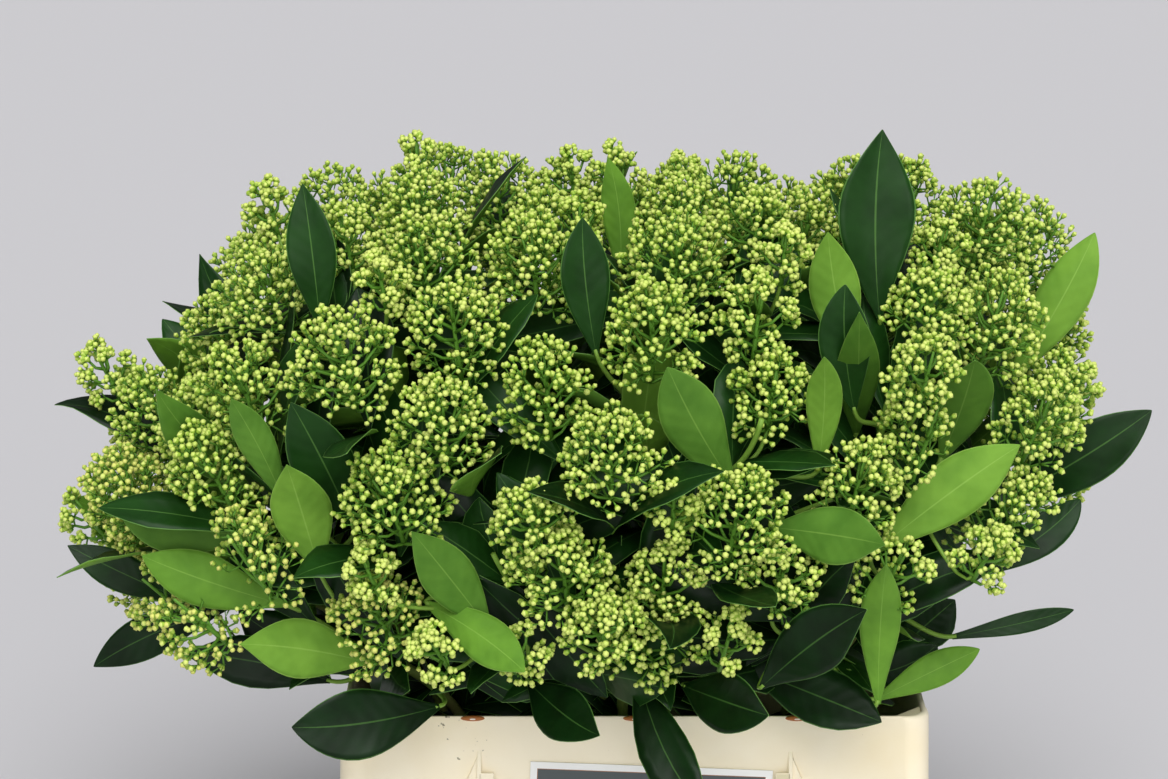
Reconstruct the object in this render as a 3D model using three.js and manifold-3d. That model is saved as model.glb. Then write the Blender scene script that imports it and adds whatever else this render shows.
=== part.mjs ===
// Cut skimmia in a flower bucket: 28 flowering stems that fan out of an ivory plastic bucket.
// Millimetres, +Z up. The origin is the centre of the bucket's flat underside, and its long
// front, which holds the card, faces -Y.

import * as THREE from 'three';
import { mergeVertices } from 'three/addons/utils/BufferGeometryUtils.js';
import Module from 'manifold-3d';

const wasm = await Module();
wasm.setup();

// ---------------------------------------------------------------- driving dimensions

const bucket = {
  height: 250,
  foot: [336, 240], // the underside
  rim: [394, 294], // outside, at the top
  skirt: [400, 300], // outside, at the skirt's lower edge
  skirtHeight: 138,
  skirtWall: 3,
  wall: 4,
  floor: 6,
  corner: 14, // radius of an upright edge
  pillar: 4, // flat strip between an upright edge and the sunk panel
  panelDepth: 1.5,
  lip: 4, // height of the rounded rim
};

const cardHolder = { halfSpan: 104, top: 225, bottom: 165, rib: 3, stand: 7, hook: 10, hookTop: 212 };
const card = { width: 162, height: 100, thickness: 0.8, across: 9.4, middle: 165.5, skew: 2.3 };

// The crown is a dome with squared shoulders. Its reaches are to the outside of the flower heads.
// Heads look away from the middle at a height, given for the lowest heads and for the topmost.
const crown = {
  left: 398,
  right: 342,
  front: 270,
  back: 250,
  centreZ: 312,
  rise: 298,
  shoulders: 3.2,
  focus: [262, 215],
  sag: 8, // the lowest heads lie this much above the centre
  rightLift: 125, // on the right they stay this much higher
};

// Sprays stand in tiers round the dome. tilt is from the vertical, turn starts the tier.
const tiers = [
  { name: 'low', sprays: 10, tilt: 83, turn: 6 },
  { name: 'middle', sprays: 8, tilt: 60, turn: -10 },
  { name: 'high', sprays: 7, tilt: 36, turn: 20 },
  { name: 'top', sprays: 3, tilt: 11, turn: 50 },
];

// The heads of a spray stand further apart at the back of the crown than at the front.
const headsPerSpray = { front: 4, back: 3 };
const head = {
  radius: 41,
  height: 76,
  spacing: [82, 98],
  depthJitter: 20,
  besideLeaf: 30, // room that the heads leave beside a stand-out leaf
  lumps: 7,
  rings: 4,
};
// whorl and fork are depths under a head's top, end is a share of the head's height.
const shoot = { whorl: 90, fork: 165, end: 0.8, radius: 2.3, tipRadius: 2, steps: 2 };
// The stub is the top of a stem, where the shoots leave.
const stub = { length: 29, radius: 4.2, tipRadius: 3.4, firstShoot: 5, betweenShoots: 6 };
const stem = {
  footZ: bucket.floor + 0.5,
  footSpread: [128, 86],
  neckSpread: [160, 112],
  neckZ: 238,
  radius: 4.6,
  tipRadius: 3.6,
};
const leaf = {
  length: 104,
  width: 43,
  thickness: 1.5,
  heel: 2.2,
  arch: 0.02, // of the length
  fold: 0.15, // rise of the edges over the midrib, of the half width
  perHead: 3,
  lean: [34, 64],
  lastLean: [58, 84],
  setBack: 34,
  setBackSprays: 14, // the last, set-back leaf only grows on this many sprays, from the lowest up
  stretch: 1.25, // a stand-out leaf can be this much longer than asked
  tries: 6,
};
const clearance = 0.4; // between any two sprays, stems or the bucket

// Large leaves that stand out of the crown. tip is the leaf's point, toward is the way it points,
// shows is the side turned to the front: 1 the dark upper side, -1 the pale underside.
const standoutLeaves = [
  { name: 'crestRight', tip: [161, -85, 635], toward: [0, 0.1, 1], length: 125, width: 58, shows: 1 },
  { name: 'crestLeft', tip: [-214, -135, 609], toward: [-0.1, 0, 1], length: 95, width: 36, shows: 1 },
  { name: 'crestMiddle', tip: [-35, -150, 590], toward: [-0.1, 0, 1], length: 90, width: 36, shows: 1 },
  { name: 'crestPale', tip: [-18, -30, 606], toward: [-0.1, 0, 1], length: 85, width: 26, shows: -1 },
  { name: 'shoulderRight', tip: [313, -20, 552], toward: [0.4, 0.2, 1], length: 90, width: 40, shows: -1 },
  { name: 'uprightPale', tip: [124, -120, 574], toward: [-0.2, 0, 1], length: 90, width: 38, shows: -1 },
  { name: 'uprightDark', tip: [132, -170, 551], toward: [-0.1, -0.2, 1], length: 90, width: 38, shows: 1 },
  { name: 'uprightOlive', tip: [139, -195, 539], toward: [-0.3, -0.4, 1], length: 90, width: 32, shows: -1 },
  { name: 'bladeFront', tip: [116, -215, 515], toward: [0, -0.4, 1], length: 90, width: 26, shows: -1 },
  { name: 'palePoint', tip: [18, -225, 511], toward: [-0.5, -0.4, 1], length: 105, width: 44, shows: -1 },
  { name: 'rightMiddle', tip: [218, -150, 496], toward: [0.2, -0.5, 1], length: 90, width: 42, shows: -1 },
  { name: 'rightPale', tip: [245, -180, 448], toward: [1, 0.1, 0.7], length: 115, width: 44, shows: -1 },
  { name: 'rightRound', tip: [152, -265, 408], toward: [1, -0.8, 0.1], length: 90, width: 42, shows: -1 },
  { name: 'rightReach', tip: [350, -60, 438], toward: [1, 0, 0.8], length: 100, width: 46, shows: 1 },
  { name: 'rightSecond', tip: [301, -80, 381], toward: [1, 0.4, 0.6], length: 90, width: 30, shows: 1 },
  { name: 'rightBlade', tip: [298, -90, 306], toward: [1, 0.1, 0.2], length: 85, width: 16, shows: 1 },
  { name: 'rightLow', tip: [230, -130, 292], toward: [1, 0.2, 0.7], length: 85, width: 26, shows: -1 },
  { name: 'lowOlive', tip: [157, -225, 382], toward: [0, -0.3, 1], length: 110, width: 30, shows: -1 },
  { name: 'lowDarkRight', tip: [142, -262, 365], toward: [0.9, -0.7, 1], length: 105, width: 46, shows: 1 },
  { name: 'overRimRight', tip: [82, -262, 295], toward: [0.7, -1, 0.1], length: 90, width: 44, shows: 1 },
  { name: 'overRimMiddle', tip: [-24, -258, 280], toward: [0.6, -1, -0.1], length: 90, width: 40, shows: 1 },
  { name: 'overRimLeft', tip: [-221, -225, 273], toward: [-1, -0.4, 0], length: 100, width: 52, shows: 1 },
  { name: 'leftRound', tip: [-255, -205, 322], toward: [-1, -0.4, 0.3], length: 90, width: 44, shows: -1 },
  { name: 'leftDroop', tip: [-371, -70, 258], toward: [-1, 0, -0.7], length: 90, width: 34, shows: 1 },
  { name: 'leftEnd', tip: [-387, -60, 342], toward: [-1, 0, 0.5], length: 90, width: 30, shows: 1 },
  { name: 'leftPale', tip: [-338, -140, 389], toward: [-1, -0.1, 0.2], length: 90, width: 40, shows: -1 },
  { name: 'leftSecond', tip: [-322, -160, 367], toward: [-1, -0.1, 0.4], length: 100, width: 40, shows: -1 },
  { name: 'paleLeft', tip: [-257, -195, 482], toward: [-0.4, -0.3, 1], length: 85, width: 26, shows: -1 },
  { name: 'roundLeft', tip: [-221, -215, 445], toward: [-0.2, -0.4, 1], length: 90, width: 44, shows: -1 },
  { name: 'darkLeft', tip: [-220, -190, 479], toward: [-0.4, -0.3, 1], length: 100, width: 46, shows: 1 },
  { name: 'paleMiddle', tip: [-141, -250, 412], toward: [-0.6, -0.5, 1], length: 100, width: 38, shows: -1 },
  { name: 'foldMiddle', tip: [-71, -265, 325], toward: [1, -0.9, -0.4], length: 90, width: 34, shows: -1 },
];

const colours = { bucket: 0xe6dcc0, card: 0xf2f1ee, stem: 0x71803b, spray: 0x8fae4a };

// ---------------------------------------------------------------- small tools

const up = new THREE.Vector3(0, 0, 1);
const vector = (list) => new THREE.Vector3(...list);
const radians = THREE.MathUtils.degToRad;

// A repeatable number from 0 to 1 for one trait of one item of one spray.
function chance(spray, item, trait) {
  let h = Math.imul(spray + 1, 0x9e3779b1) ^ Math.imul(item + 1, 0x85ebca6b);
  h ^= Math.imul(trait + 1, 0xc2b2ae35);
  h = Math.imul(h ^ (h >>> 15), 0x2c1b3c6d);
  h = Math.imul(h ^ (h >>> 12), 0x297a2d39);
  return ((h ^ (h >>> 15)) >>> 0) / 4294967296;
}
const between = (low, high, share) => low + (high - low) * share;

function toSolid(geometry) {
  const bare = geometry.clone();
  bare.deleteAttribute('normal');
  bare.deleteAttribute('uv');
  const merged = mergeVertices(bare, 1e-3);
  const triVerts = new Uint32Array(merged.index.array);
  const vertProperties = merged.attributes.position.array;
  return new wasm.Manifold(new wasm.Mesh({ numProp: 3, vertProperties, triVerts }));
}

function toGeometry(solid) {
  const mesh = solid.getMesh();
  const geometry = new THREE.BufferGeometry();
  geometry.setAttribute('position', new THREE.BufferAttribute(mesh.vertProperties, 3));
  geometry.setIndex(new THREE.BufferAttribute(mesh.triVerts, 1));
  geometry.computeVertexNormals();
  return geometry;
}

// Moves each vertex of a geometry to where the rule puts it.
function reshape(geometry, rule) {
  const places = geometry.attributes.position;
  const point = new THREE.Vector3();
  for (let i = 0; i < places.count; i++) {
    point.fromBufferAttribute(places, i);
    const moved = rule(point);
    places.setXYZ(i, moved.x, moved.y, moved.z);
  }
  return geometry;
}

// Two directions square to a given one and to each other.
function sidesOf(direction, hint = up) {
  const across = new THREE.Vector3().crossVectors(direction, hint);
  if (across.length() < 0.05) across.crossVectors(direction, new THREE.Vector3(0, 1, 0));
  across.normalize();
  return [across, new THREE.Vector3().crossVectors(across, direction).normalize()];
}

// ---------------------------------------------------------------- bucket and card

// One level of the bucket: a rounded rectangle with a shallow sunk panel in each side.
function bucketOutline([length, width], panelDepth) {
  const { corner, pillar } = bucket;
  const arcSteps = 3;
  const arcs = [[1, -1], [1, 1], [-1, 1], [-1, -1]].map(([sx, sy], quarter) => {
    const centre = new THREE.Vector2(sx * (length / 2 - corner), sy * (width / 2 - corner));
    return Array.from({ length: arcSteps + 1 }, (_, i) => {
      const angle = radians(90 * (quarter - 1 + i / arcSteps));
      return new THREE.Vector2(Math.cos(angle), Math.sin(angle)).multiplyScalar(corner).add(centre);
    });
  });
  return arcs.flatMap((arc, quarter) => {
    const start = arc[arcSteps];
    const end = arcs[(quarter + 1) % 4][0];
    const along = end.clone().sub(start).normalize();
    const inward = new THREE.Vector2(-along.y, along.x);
    const on = (from, distance, depth) =>
      from.clone().addScaledVector(along, distance).addScaledVector(inward, depth);
    const groove = pillar + panelDepth + 0.5;
    const leading = [on(start, pillar, 0), on(start, groove, panelDepth)];
    return [...arc, ...leading, on(end, -groove, panelDepth), on(end, -pillar, 0)];
  });
}

// Closes a stack of outlines, given from the underside up the outside and down the inside.
function stackOutlines(levels) {
  const rings = levels.map(({ size, panel = 0, z }) => bucketOutline(size, panel).map((p) => [p.x, p.y, z]));
  const count = rings[0].length;
  const vertices = rings.flat(2);
  const index = [];
  for (let level = 0; level + 1 < rings.length; level++) {
    for (let i = 0; i < count; i++) {
      const a = level * count + i;
      const b = level * count + ((i + 1) % count);
      index.push(a, b, b + count, a, b + count, a + count);
    }
  }
  const last = (rings.length - 1) * count;
  const cap = THREE.ShapeUtils.triangulateShape(rings[0].map(([x, y]) => new THREE.Vector2(x, y)), []);
  for (const [a, b, c] of cap) index.push(c, b, a, last + a, last + b, last + c);
  const geometry = new THREE.BufferGeometry();
  geometry.setAttribute('position', new THREE.Float32BufferAttribute(vertices, 3));
  geometry.setIndex(index);
  return geometry;
}

const grown = ([length, width], by) => [length + 2 * by, width + 2 * by];
const skirtBottom = bucket.height - bucket.skirtHeight;
const skirtSlope = (bucket.skirt[1] - bucket.rim[1]) / 2 / bucket.skirtHeight;

// How far the sunk front panel stands from the middle plane at a height.
const panelFront = (z) => bucket.rim[1] / 2 + (bucket.height - z) * skirtSlope - bucket.panelDepth;

function makeBucket() {
  const { height, foot, rim, skirt, skirtWall, wall, floor, lip, panelDepth } = bucket;
  const inside = grown(rim, -wall - 1);
  const underRim = height - 28;
  let solid = toSolid(
    stackOutlines([
      { z: 0, size: foot },
      { z: 4, size: grown(foot, 4) },
      { z: underRim, size: grown(inside, 1) },
      { z: underRim, size: grown(rim, -skirtWall + 1.5) },
      { z: skirtBottom, size: grown(skirt, -skirtWall) },
      { z: skirtBottom, size: skirt, panel: panelDepth },
      { z: height - lip, size: rim, panel: panelDepth },
      { z: height, size: grown(rim, -1.7) },
      { z: height, size: grown(inside, 1.5) },
      { z: height - lip, size: inside },
      { z: floor, size: grown(foot, -2) },
    ]),
  );
  const { halfSpan, top, bottom, rib, stand, hook, hookTop } = cardHolder;
  const face = panelFront(top) - 1.2;
  for (const side of [-1, 1]) {
    const upright = new THREE.BoxGeometry(rib, stand, top - bottom);
    upright.translate(side * halfSpan, -face - stand / 2, (top + bottom) / 2);
    const lug = new THREE.BoxGeometry(hook, 2, hookTop - bottom);
    lug.translate(side * (halfSpan - hook / 2), -face - stand + 1, (hookTop + bottom) / 2);
    solid = solid.add(toSolid(upright)).add(toSolid(lug));
  }
  return solid;
}

function makeCard() {
  const geometry = new THREE.BoxGeometry(card.width, card.thickness, card.height);
  geometry.rotateY(radians(card.skew));
  geometry.rotateX(-Math.atan(skirtSlope));
  geometry.translate(card.across, -panelFront(card.middle) - card.thickness / 2 - 0.4, card.middle);
  return toSolid(geometry);
}

// ---------------------------------------------------------------- where the heads stand

// The point of the dome that lies in a direction from its centre.
function onDome(direction) {
  const { left, right, front, back, rise, shoulders } = crown;
  const x = Math.abs(direction.x) / (direction.x < 0 ? left : right);
  const y = Math.abs(direction.y) / (direction.y < 0 ? front : back);
  const z = Math.abs(direction.z) / rise;
  const size = (x ** shoulders + y ** shoulders + z ** shoulders) ** (-1 / shoulders);
  return direction.clone().multiplyScalar(size).add(new THREE.Vector3(0, 0, crown.centreZ));
}

const fromCentre = (point) => point.clone().sub(new THREE.Vector3(0, 0, crown.centreZ));

// The line from the foot to the point of each stand-out leaf, and how far the heads keep from it.
const leafLines = standoutLeaves.map(({ tip, toward, length, width }) => {
  const foot = vector(tip).addScaledVector(vector(toward).normalize(), -length);
  return { line: new THREE.Line3(foot, vector(tip)), room: head.besideLeaf + width / 2 };
});

// Every head starts near its spray's place in the tier, then all push apart over the dome, and
// make room for the stand-out leaves.
function placeHeads() {
  const heads = [];
  let spray = 0;
  for (const tier of tiers) {
    for (let i = 0; i < tier.sprays; i++, spray++) {
      const around = radians(tier.turn + (360 * (i + 0.3 * chance(spray, 0, 1))) / tier.sprays);
      const tilt = radians(tier.tilt + between(-4, 4, chance(spray, 0, 2)));
      const towards = new THREE.Vector3(
        Math.sin(tilt) * Math.cos(around) * crown.left,
        Math.sin(tilt) * Math.sin(around) * crown.front,
        Math.cos(tilt) * crown.rise,
      ).normalize();
      const [across, above] = sidesOf(towards);
      const count = Math.sin(around) < 0.2 ? headsPerSpray.front : headsPerSpray.back;
      for (let k = 0; k < count; k++) {
        const angle = (2 * Math.PI * (k + chance(spray, 0, 3))) / count;
        const spread = across.clone().multiplyScalar(Math.cos(angle)).addScaledVector(above, Math.sin(angle));
        heads.push({ spray, order: k, place: onDome(towards.clone().addScaledVector(spread, 0.14)) });
      }
    }
  }
  for (let round = 0; round < 60; round++) {
    for (let i = 0; i < heads.length; i++) {
      for (let j = i + 1; j < heads.length; j++) {
        const apart = heads[j].place.clone().sub(heads[i].place);
        const depth = (heads[i].place.y + heads[j].place.y) / 2;
        const backness = THREE.MathUtils.clamp((depth + crown.front) / (crown.front + crown.back), 0, 1);
        const short = between(...head.spacing, backness) - apart.length();
        if (short <= 0) continue;
        apart.setLength(short / 2);
        heads[i].place.sub(apart);
        heads[j].place.add(apart);
      }
      const inward = fromCentre(heads[i].place).setLength(-head.height / 2);
      for (const { line, room } of leafLines) {
        const middle = heads[i].place.clone().add(inward);
        const aside = middle.clone().sub(line.closestPointToPoint(middle, true, new THREE.Vector3()));
        if (aside.length() < room) heads[i].place.add(aside.setLength(room - aside.length()));
      }
    }
    for (const each of heads) {
      const direction = fromCentre(each.place);
      const rightness = Math.max(0, direction.x / crown.right);
      direction.z = Math.max(direction.z, crown.sag + crown.rightLift * rightness ** 1.5);
      each.place = onDome(direction);
    }
  }
  for (const each of heads) {
    const { spray: s, order: k } = each;
    const lift = (each.place.z - crown.centreZ) / crown.rise;
    const focus = new THREE.Vector3(each.place.x * 0.4, each.place.y * 0.4, between(...crown.focus, lift));
    each.axis = each.place.clone().sub(focus).normalize();
    each.place.addScaledVector(each.axis, -head.depthJitter * chance(s, k, 4));
    each.radius = head.radius * between(0.9, 1.05, chance(s, k, 5));
    each.height = head.height * between(0.92, 1.08, chance(s, k, 6));
  }
  return heads;
}

// A spray has three or four heads, the fork that their shoots leave, and the stem that carries it.
function planSprays() {
  const heads = placeHeads();
  const sprays = [];
  let number = 0;
  for (const tier of tiers) {
    for (let i = 1; i <= tier.sprays; i++, number++) {
      const own = heads.filter((each) => each.spray === number);
      const axis = own.reduce((sum, each) => sum.add(each.axis), new THREE.Vector3()).normalize();
      const total = own.reduce((sum, each) => sum.add(each.place), new THREE.Vector3());
      const fork = total.divideScalar(own.length).addScaledVector(axis, -shoot.fork);
      const label = `${tier.name}_${String(i).padStart(2, '0')}`;
      sprays.push({ number, label, heads: own, axis, fork, pieces: [] });
    }
  }
  return sprays;
}

// ---------------------------------------------------------------- stems, shoots, heads and leaves

// A tapering limb: a closed cylinder bent along a curve.
function limb(curve, radiusFrom, radiusTo, sides, steps) {
  const frames = curve.computeFrenetFrames(steps, false);
  const straight = new THREE.CylinderGeometry(radiusTo, radiusFrom, 1, sides, steps);
  return reshape(straight, ({ x, y, z }) => {
    const share = y + 0.5;
    const step = Math.round(share * steps);
    return curve
      .getPointAt(share)
      .addScaledVector(frames.normals[step], x)
      .addScaledVector(frames.binormals[step], -z);
  });
}

const straightLimb = (from, to, radiusFrom, radiusTo) =>
  limb(new THREE.LineCurve3(from, to), radiusFrom, radiusTo, 3, 1);

// From its cut foot on the bucket's floor a stem rises through the mouth and leans out to its fork.
function stemCurve({ fork, axis }, aside) {
  const u = fork.x / (fork.x < 0 ? crown.left : crown.right);
  const v = fork.y / (fork.y < 0 ? crown.front : crown.back);
  const spread = ([x, y], z, share = 1) => new THREE.Vector3(x * u * share, y * v * share, z);
  const foot = spread(stem.footSpread, stem.footZ, 1.3).add(aside);
  const low = spread(stem.neckSpread, bucket.height * 0.55, 1.1).add(aside);
  const underFork = fork.clone().addScaledVector(axis, -60);
  const neck = spread(stem.neckSpread, stem.neckZ, 1.3).lerp(underFork, 0.35).addScaledVector(aside, 0.5);
  return new THREE.CubicBezierCurve3(foot, low, neck, fork);
}

// A stem and the stub above it. Where one would touch another limb, the stem steps a little aside,
// in a widening spiral.
function placeStem(spray) {
  for (let attempt = 0; attempt < 40; attempt++) {
    const aside = new THREE.Vector3(attempt * 1.2, 0, 0).applyAxisAngle(up, attempt * 2.4);
    const path = stemCurve(spray, aside);
    const heading = path.getTangentAt(1);
    const on = (distance) => spray.fork.clone().addScaledVector(heading, distance);
    const bent = toSolid(limb(path, stem.radius, stem.tipRadius, 5, 4));
    const solid = bent.trimByPlane([0, 0, 1], stem.footZ);
    const top = toSolid(straightLimb(on(clearance), on(stub.length), stub.radius, stub.tipRadius));
    if (!hasRoom(solid) || !hasRoom(top)) continue;
    Object.assign(spray, { heading, top: on(stub.length - 5), stub: `stub_${spray.label}` });
    spray.pieces.push(keep(spray.stub, top));
    return keep(`stem_${spray.label}`, solid);
  }
  throw new Error(`no room for the stem of ${spray.label}`);
}

// A panicle of buds: a rounded inverted cone whose surface stands out in lumps, each a bunch of buds.
function makeHead({ place, axis, radius, height, spray, order }) {
  const profile = [0.55, 1, 0.7];
  const levels = [0.16, 0.45, 0.8];
  const [across, above] = sidesOf(axis);
  const turn = 6.283 * chance(spray, order, 7);
  const ball = new THREE.SphereGeometry(1, head.lumps, head.rings);
  return reshape(ball, ({ x, y, z }) => {
    const tilt = Math.acos(THREE.MathUtils.clamp(y, -1, 1)) / Math.PI;
    const ring = Math.round(tilt * head.rings); // 0 at the top
    const end = ring === 0 || ring === head.rings;
    const around = Math.atan2(z, x);
    const column = (Math.round((around / (2 * Math.PI)) * head.lumps) + head.lumps) % head.lumps;
    const level = end ? 1 - ring / head.rings : levels[head.rings - 1 - ring];
    const lump = between(0.84, 1.1, chance(spray, 100 + order * 40 + ring * 10 + column, 1));
    const reach = end ? 0 : radius * profile[head.rings - 1 - ring] * lump;
    const rise = end ? level : level * (0.5 + 0.5 * lump);
    return place
      .clone()
      .addScaledVector(axis, height * (rise - 1))
      .addScaledVector(across, reach * Math.cos(around + turn))
      .addScaledVector(above, reach * Math.sin(around + turn));
  });
}

// A leaf blade of 12 faces: an outline of six points, the ridge of the midrib above it, and a heel
// under the root. Root and heel lie on the shoot's axis, so the foot is sunk into the shoot.
const leafFaces = [
  [6, 0, 1], [6, 1, 2], [6, 2, 3], [6, 3, 4], [6, 4, 5], [6, 5, 0], // upper side
  [1, 0, 7], [1, 7, 3], [1, 3, 2], [0, 5, 7], [7, 5, 3], [5, 4, 3], // underside
];

function makeLeaf({ base, tip, width, face }) {
  const along = tip.clone().sub(base);
  const length = along.length();
  along.normalize();
  const across = new THREE.Vector3().crossVectors(along, face).normalize();
  const upper = new THREE.Vector3().crossVectors(across, along).normalize();
  const point = (share, side, lift = 0) => {
    const arch = 4 * leaf.arch * length * share * (1 - share);
    return base
      .clone()
      .addScaledVector(along, share * length)
      .addScaledVector(across, side * width)
      .addScaledVector(upper, lift + arch + leaf.fold * width * Math.abs(side));
  };
  const points = [
    point(0, 0, leaf.heel / 2),
    point(0.34, 0.36),
    point(0.66, 0.5),
    point(1, 0),
    point(0.66, -0.5),
    point(0.34, -0.36),
    point(0.45, 0, leaf.thickness),
    point(0, 0, -leaf.heel / 2),
  ];
  const geometry = new THREE.BufferGeometry().setFromPoints(points);
  geometry.setIndex(leafFaces.flat());
  return geometry;
}

// The shoot that carries a head leaves the stub, bends and rises straight into the head's foot.
function shootCurve(each, { fork, heading }) {
  const under = (depth) => each.place.clone().addScaledVector(each.axis, -depth);
  const start = fork.clone().addScaledVector(heading, stub.firstShoot + stub.betweenShoots * each.order);
  const elbow = under(shoot.whorl + 30);
  const middle = start.clone().lerp(elbow, 0.5);
  return new THREE.CubicBezierCurve3(start, middle, elbow, under(shoot.end * each.height));
}

// The point of a shoot's axis that lies some way back from its end.
function onShoot({ path }, back) {
  const rings = path.getSpacedPoints(shoot.steps);
  let left = back;
  let step = shoot.steps;
  while (step > 1 && left > rings[step].distanceTo(rings[step - 1])) {
    left -= rings[step].distanceTo(rings[step - 1]);
    step--;
  }
  return rings[step].lerp(rings[step - 1], left / rings[step].distanceTo(rings[step - 1]));
}

// The leaves under a head, each turned on from the last by the golden angle. All but the last
// make a whorl near the head; the last is set well back on the shoot and leans out further. A leaf
// that has no room tries again, turned further and a little shorter.
function leafUnder(each, item, attempt) {
  const { spray, order, axis } = each;
  const key = 10 + order * 20 + item;
  const isLast = item === leaf.perHead - 1;
  const golden = 2.39996;
  const start = 6.283 * chance(spray, order, 8) + between(-0.25, 0.25, chance(spray, key, 1));
  const around = start + golden * item + 0.9 * attempt;
  const leans = isLast ? leaf.lastLean : leaf.lean;
  const lean = radians(between(...leans, chance(spray, key, 2 + 10 * attempt)));
  const length = leaf.length * between(0.8, 1.12, chance(spray, key, 3)) * (1 - 0.05 * attempt);
  const [across, above] = sidesOf(axis);
  const out = across.clone().multiplyScalar(Math.cos(around)).addScaledVector(above, Math.sin(around));
  const along = axis.clone().multiplyScalar(Math.cos(lean)).addScaledVector(out, Math.sin(lean));
  const whorl = shoot.whorl - shoot.end * each.height;
  const base = onShoot(each, isLast ? whorl + leaf.setBack : whorl + 5 * item);
  const width = leaf.width * between(0.84, 1.12, chance(spray, key, 5));
  return { base, tip: base.clone().addScaledVector(along, length), width, face: axis };
}

// A stand-out leaf keeps its point where it is wanted, whatever foot it gets.
function standoutLeaf(wanted, base) {
  const face = new THREE.Vector3(0, -wanted.shows, 0.35 * wanted.shows);
  return { base, tip: vector(wanted.tip), width: wanted.width, face };
}

// ---------------------------------------------------------------- putting it together

const placed = []; // every solid so far, with the name of the limb it is and its box

function boxOf(solid) {
  const { min, max } = solid.boundingBox();
  return new THREE.Box3(vector(min), vector(max)).expandByScalar(clearance);
}

const touches = (solid, box, other) =>
  box.intersectsBox(other.box) && solid.minGap(other.solid, 1) < clearance;

// A solid has room if it is clear of all that is placed, apart from the limbs it grows from.
function hasRoom(solid, parents = []) {
  const box = boxOf(solid);
  return placed.every((other) => parents.includes(other.name) || !touches(solid, box, other));
}

function keep(name, solid) {
  placed.push({ name, solid, box: boxOf(solid) });
  return solid;
}

const sprays = planSprays();
const nodes = new Map();
nodes.set('bucket', keep('bucket', makeBucket()));
nodes.set('card', keep('card', makeCard()));
for (const spray of sprays) nodes.set(`stem_${spray.label}`, placeStem(spray));

// The shoots leave the stub for their heads. One that would touch another spray's limb is left
// out, with its head.
for (const spray of sprays) {
  const ownLimbs = [spray.stub];
  spray.heads = spray.heads.filter((each) => {
    each.path = shootCurve(each, spray);
    each.limb = `shoot_${spray.label}_${each.order}`;
    const twig = toSolid(limb(each.path, shoot.radius, shoot.tipRadius, 3, shoot.steps));
    if (!hasRoom(twig, ownLimbs)) return false;
    spray.pieces.push(keep(each.limb, twig));
    ownLimbs.push(each.limb);
    return true;
  });
}

function addLeaf(spray, limbName, blade) {
  const solid = toSolid(makeLeaf(blade));
  if (!hasRoom(solid, [limbName])) return false;
  spray.pieces.push(keep('leaf', solid));
  return true;
}

// The feet a stand-out leaf can choose from: places on the shoots and stubs nearest to its line.
function feetFor(wanted, line) {
  const whorl = shoot.whorl - shoot.end * head.height;
  const feet = sprays.flatMap((spray) => [
    ...spray.heads.flatMap((each) =>
      [0, 14, 28].map((back) => ({ spray, limb: each.limb, base: onShoot(each, whorl + back) })),
    ),
    { spray, limb: spray.stub, base: spray.top },
  ]);
  feet.sort((a, b) => a.base.distanceTo(line.start) - b.base.distanceTo(line.start));
  return feet.slice(0, 40).filter((foot) => foot.base.distanceTo(line.end) < leaf.stretch * wanted.length);
}

// Stand-out leaves come first, each from the foot where it robs the fewest heads of their room.
const plannedHeads = sprays.flatMap((spray) =>
  spray.heads.map((each) => {
    const solid = toSolid(makeHead({ ...each, radius: 0.8 * each.radius }));
    return { solid, box: boxOf(solid) };
  }),
);
standoutLeaves.forEach((wanted, i) => {
  const choices = feetFor(wanted, leafLines[i].line).map((foot) => {
    const blade = standoutLeaf(wanted, foot.base);
    const solid = toSolid(makeLeaf(blade));
    const box = boxOf(solid);
    const robbed = plannedHeads.filter((one) => touches(solid, box, one)).length;
    return { ...foot, blade, solid, robbed };
  });
  const open = choices.filter((one) => hasRoom(one.solid, [one.limb]));
  if (open.length === 0) return;
  const best = open.reduce((a, b) => (b.robbed < a.robbed ? b : a));
  addLeaf(best.spray, best.limb, best.blade);
});

// A head without room is made narrower, and left out if that doesn't help.
for (const spray of sprays) {
  spray.heads = spray.heads.filter((each) => {
    for (let size = 1; size > 0.5; size -= 0.05) {
      const flower = toSolid(makeHead({ ...each, radius: each.radius * size }));
      if (!hasRoom(flower, [each.limb])) continue;
      spray.pieces.push(keep('head', flower));
      return true;
    }
    return false;
  });
}

for (let item = 0; item < leaf.perHead; item++) {
  for (const spray of item < leaf.perHead - 1 ? sprays : sprays.slice(0, leaf.setBackSprays)) {
    for (const each of spray.heads) {
      for (let attempt = 0; attempt < leaf.tries; attempt++) {
        if (addLeaf(spray, each.limb, leafUnder(each, item, attempt))) break;
      }
    }
  }
}

const sliver = 0.1; // corners closer than this to a flat are smoothed away
for (const spray of sprays) {
  nodes.set(`spray_${spray.label}`, wasm.Manifold.union(spray.pieces).simplify(sliver));
}

// ---------------------------------------------------------------- the model

const finishes = {
  bucket: new THREE.MeshStandardMaterial({ color: colours.bucket, roughness: 0.5, metalness: 0 }),
  card: new THREE.MeshStandardMaterial({ color: colours.card, roughness: 0.7, metalness: 0 }),
  stem: new THREE.MeshStandardMaterial({ color: colours.stem, roughness: 0.7, metalness: 0 }),
  spray: new THREE.MeshStandardMaterial({ color: colours.spray, roughness: 0.45, metalness: 0 }),
};

const bunch = new THREE.Group();
for (const [name, solid] of nodes) {
  const mesh = new THREE.Mesh(toGeometry(solid), finishes[name.split('_')[0]]);
  mesh.name = name;
  bunch.add(mesh);
}

export default bunch;
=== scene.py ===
import math
from collections import defaultdict

import bmesh
import bpy
import numpy as np
from mathutils import Matrix, Vector
from mathutils.bvhtree import BVHTree
from numpy import array, concatenate, linspace
from numpy.linalg import norm


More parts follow.
